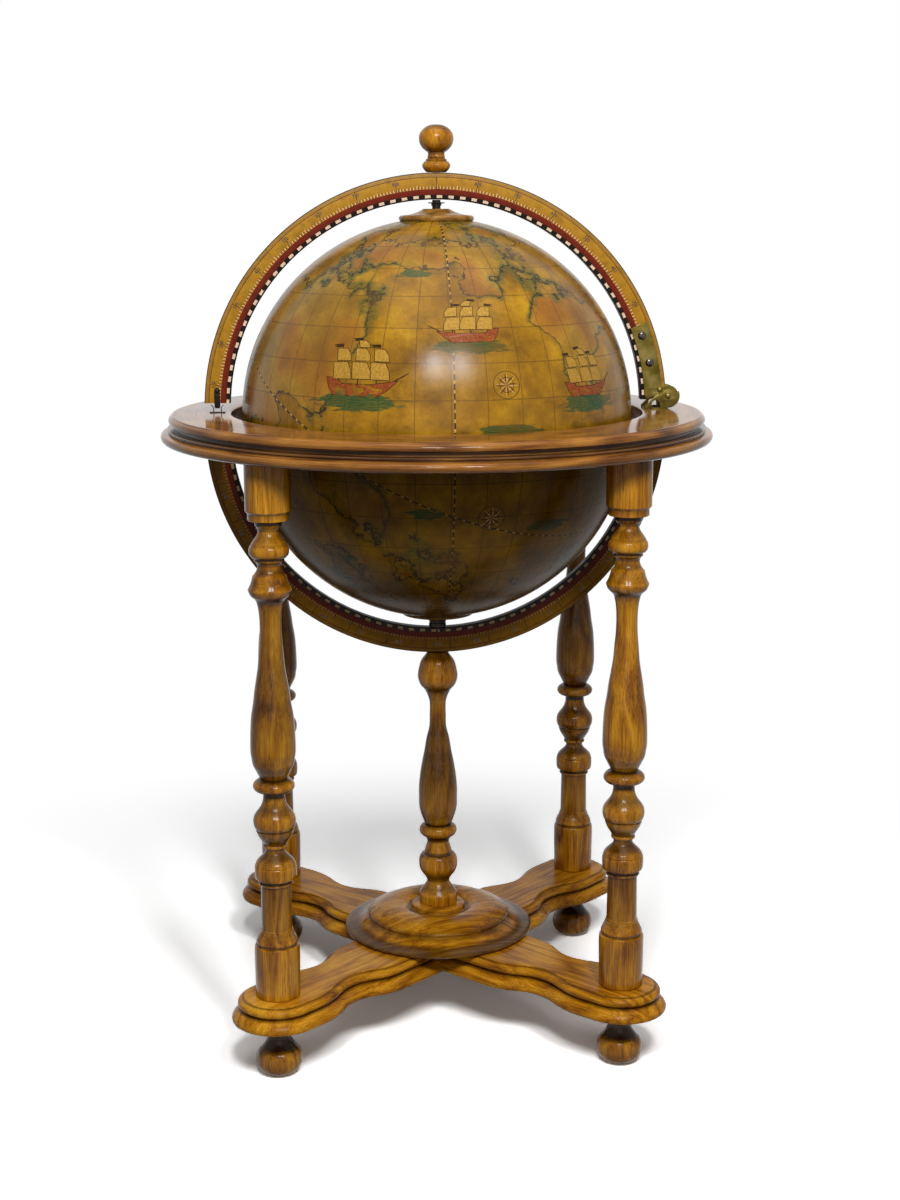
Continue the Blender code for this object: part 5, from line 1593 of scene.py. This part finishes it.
def makeCatch():
    middle, half = catch["middle"], catch["tongueHalf"]
    ring = arcPoints((middle, catch["tongueTop"] - half), half, 0, 180, 16)
    ring += [(middle - half, catch["tongueTip"] + 1), (middle - half + 1, catch["tongueTip"]),
             (middle + half - 1, catch["tongueTip"]), (middle + half, catch["tongueTip"] + 1)]
    tongue = standUp(plateOf("catchTongue", [ring], catch["tongueThickness"]), catch["depth"])
    hand(tongue, blackSteel, "lid", "dark_steel", "catch_tongue")
    base, slot, flare = catch["base"], catch["slotHalf"], catch["flare"]
    leaf, floor = slot + catch["leaf"], base + catch["baseThickness"]
    waist, tip = base + catch["height"] / 2, base + catch["height"]
    parts = [i / 8 for i in range(9)]
    bowed = [(leaf + flare * t * t, waist + (tip - waist) * t) for t in parts]
    inner = [(slot + flare * t * t, waist + (tip - waist) * t) for t in reversed(parts)]
    right = [(catch["baseHalf"], base), (catch["baseHalf"], floor), (leaf, floor)] + bowed + inner
    right.append((slot, floor))
    ring = [(middle + x, z) for x, z in right] + [(middle - x, z) for x, z in reversed(right)]
    fork = standUp(plateOf("catchFork", [ring], catch["forkDepth"], edge=0.15), catch["depth"])
    hand(fork, blackSteel, "stand", "dark_steel", "catch_fork")
    head = screwHead("tongueScrew", *screws["tongueHead"])
    head.data.transform(moveBy(*screws["tongue"]) @ turnBy(90, "X"))
    hand(head, blackSteel, "lid", "dark_steel")


makeCatch()
print("catch made")


# Floor, light and camera

studio = {
    "floorSize": 14,
    "floorBounce": 0.14,         # what the floor gives back to the object
    "floorWhite": 2.0,           # what it gives back to the camera
    "floorLift": 0.02,           # floor's own white, under which a shadow can't fall
    "floorFade": (0.42, 0.95),   # from the lit floor to plain white, in m
    "roomLight": 0.09,
    # name, place, aim, size in m, power in W
    "lamps": [
        ("keySoftboxLeft", (-0.134, -1.424, 1.554), (0, -0.19, 0.70), (0.20, 0.34), 13.5),
        ("keySoftboxRight", (0.266, -1.424, 1.554), (0, -0.19, 0.70), (0.20, 0.34), 13.5),
        ("frontSoftbox", (-0.1, -2.6, 0.9), (0, 0, 0.4), (1.8, 1.2), 7),
        ("overheadSoftbox", (0.05, -0.45, 2.5), (0, 0, 0.4), (1.8, 1.6), 19),
    ],
    "cameraAt": (-0.1355, -1.938, 0.852),
    "heading": 4.39,
    "pitch": -11.82,
    "roll": -0.08,
    "lens": 56.5,
    "sensor": 36,
    "farthest": 50,
}


def seenDirectly(tree):
    # 1 for what the camera sees, also in gloss and through glass
    rays = addNode(tree, "LightPath").outputs
    seen = addNode(tree, "Math", {0: rays["Is Camera Ray"], 1: rays["Is Glossy Ray"]},
                   operation="MAXIMUM")
    return addNode(tree, "Math", {0: seen, 1: rays["Is Transmission Ray"]}, operation="MAXIMUM")


# Pale matt studio floor, which fades to plain white away from the piece
def floorPaint():
    material, tree, shader, place = startMaterial("paleStudioFloor")
    tree.nodes.remove(shader)
    seen = seenDirectly(tree)
    paint = addNode(tree, "MapRange", {0: seen, 1: 0, 2: 1, 3: studio["floorBounce"],
                                       4: studio["floorWhite"]})
    matt = addNode(tree, "BsdfDiffuse", {"Color": paint})
    lift = addNode(tree, "Math", {0: seen, 1: studio["floorLift"]}, operation="MULTIPLY")
    light = addNode(tree, "Emission", {"Strength": lift})
    near = addNode(tree, "AddShader", {0: matt, 1: light})
    far = addNode(tree, "Emission", {"Strength": seen})
    away = addNode(tree, "VectorMath", {0: place}, operation="LENGTH")
    falloff = addNode(tree, "MapRange", {0: away, 1: studio["floorFade"][0], 2: studio["floorFade"][1]},
                   interpolation_type="SMOOTHSTEP")
    both = addNode(tree, "MixShader", {0: falloff, 1: near, 2: far})
    giveInputs(tree, tree.nodes["Material Output"], {"Surface": both})
    return material


def makeStudio():
    scene = bpy.context.scene
    scene.view_settings.view_transform = "Standard"
    floor = addPlane("studioFloor", studio["floorSize"], (0, 0, 0))
    floor.data.materials.append(floorPaint())

    world = bpy.data.worlds.new("studioWorld")
    scene.world = world
    world.use_nodes = True
    tree = world.node_tree
    tree.nodes.clear()
    white = (1, 1, 1, 1)
    soft = addNode(tree, "Background", {"Color": white, "Strength": studio["roomLight"]})
    plain = addNode(tree, "Background", {"Color": white, "Strength": 1.0})
    mixed = addNode(tree, "MixShader", {0: seenDirectly(tree), 1: soft, 2: plain})
    addNode(tree, "OutputWorld", {"Surface": mixed})

    for name, place, aim, size, power in studio["lamps"]:
        lamp = bpy.data.lights.new(name, "AREA")
        lamp.shape = "RECTANGLE"
        lamp.size, lamp.size_y = size
        lamp.energy = power
        box = bpy.data.objects.new(name, lamp)
        scene.collection.objects.link(box)
        box.location = place
        box.rotation_euler = (Vector(aim) - Vector(place)).to_track_quat("-Z", "Y").to_euler()

    camera = bpy.data.cameras.new("photoCamera")
    camera.lens = studio["lens"]
    camera.sensor_width = studio["sensor"]
    camera.clip_end = studio["farthest"]
    holder = bpy.data.objects.new("photoCamera", camera)
    scene.collection.objects.link(holder)
    holder.location = studio["cameraAt"]
    turn = (turnBy(-studio["heading"], "Z") @ turnBy(90 + studio["pitch"], "X")
            @ turnBy(studio["roll"], "Z"))
    holder.rotation_euler = turn.to_euler()
    scene.camera = holder


makeStudio()
print("studio made")
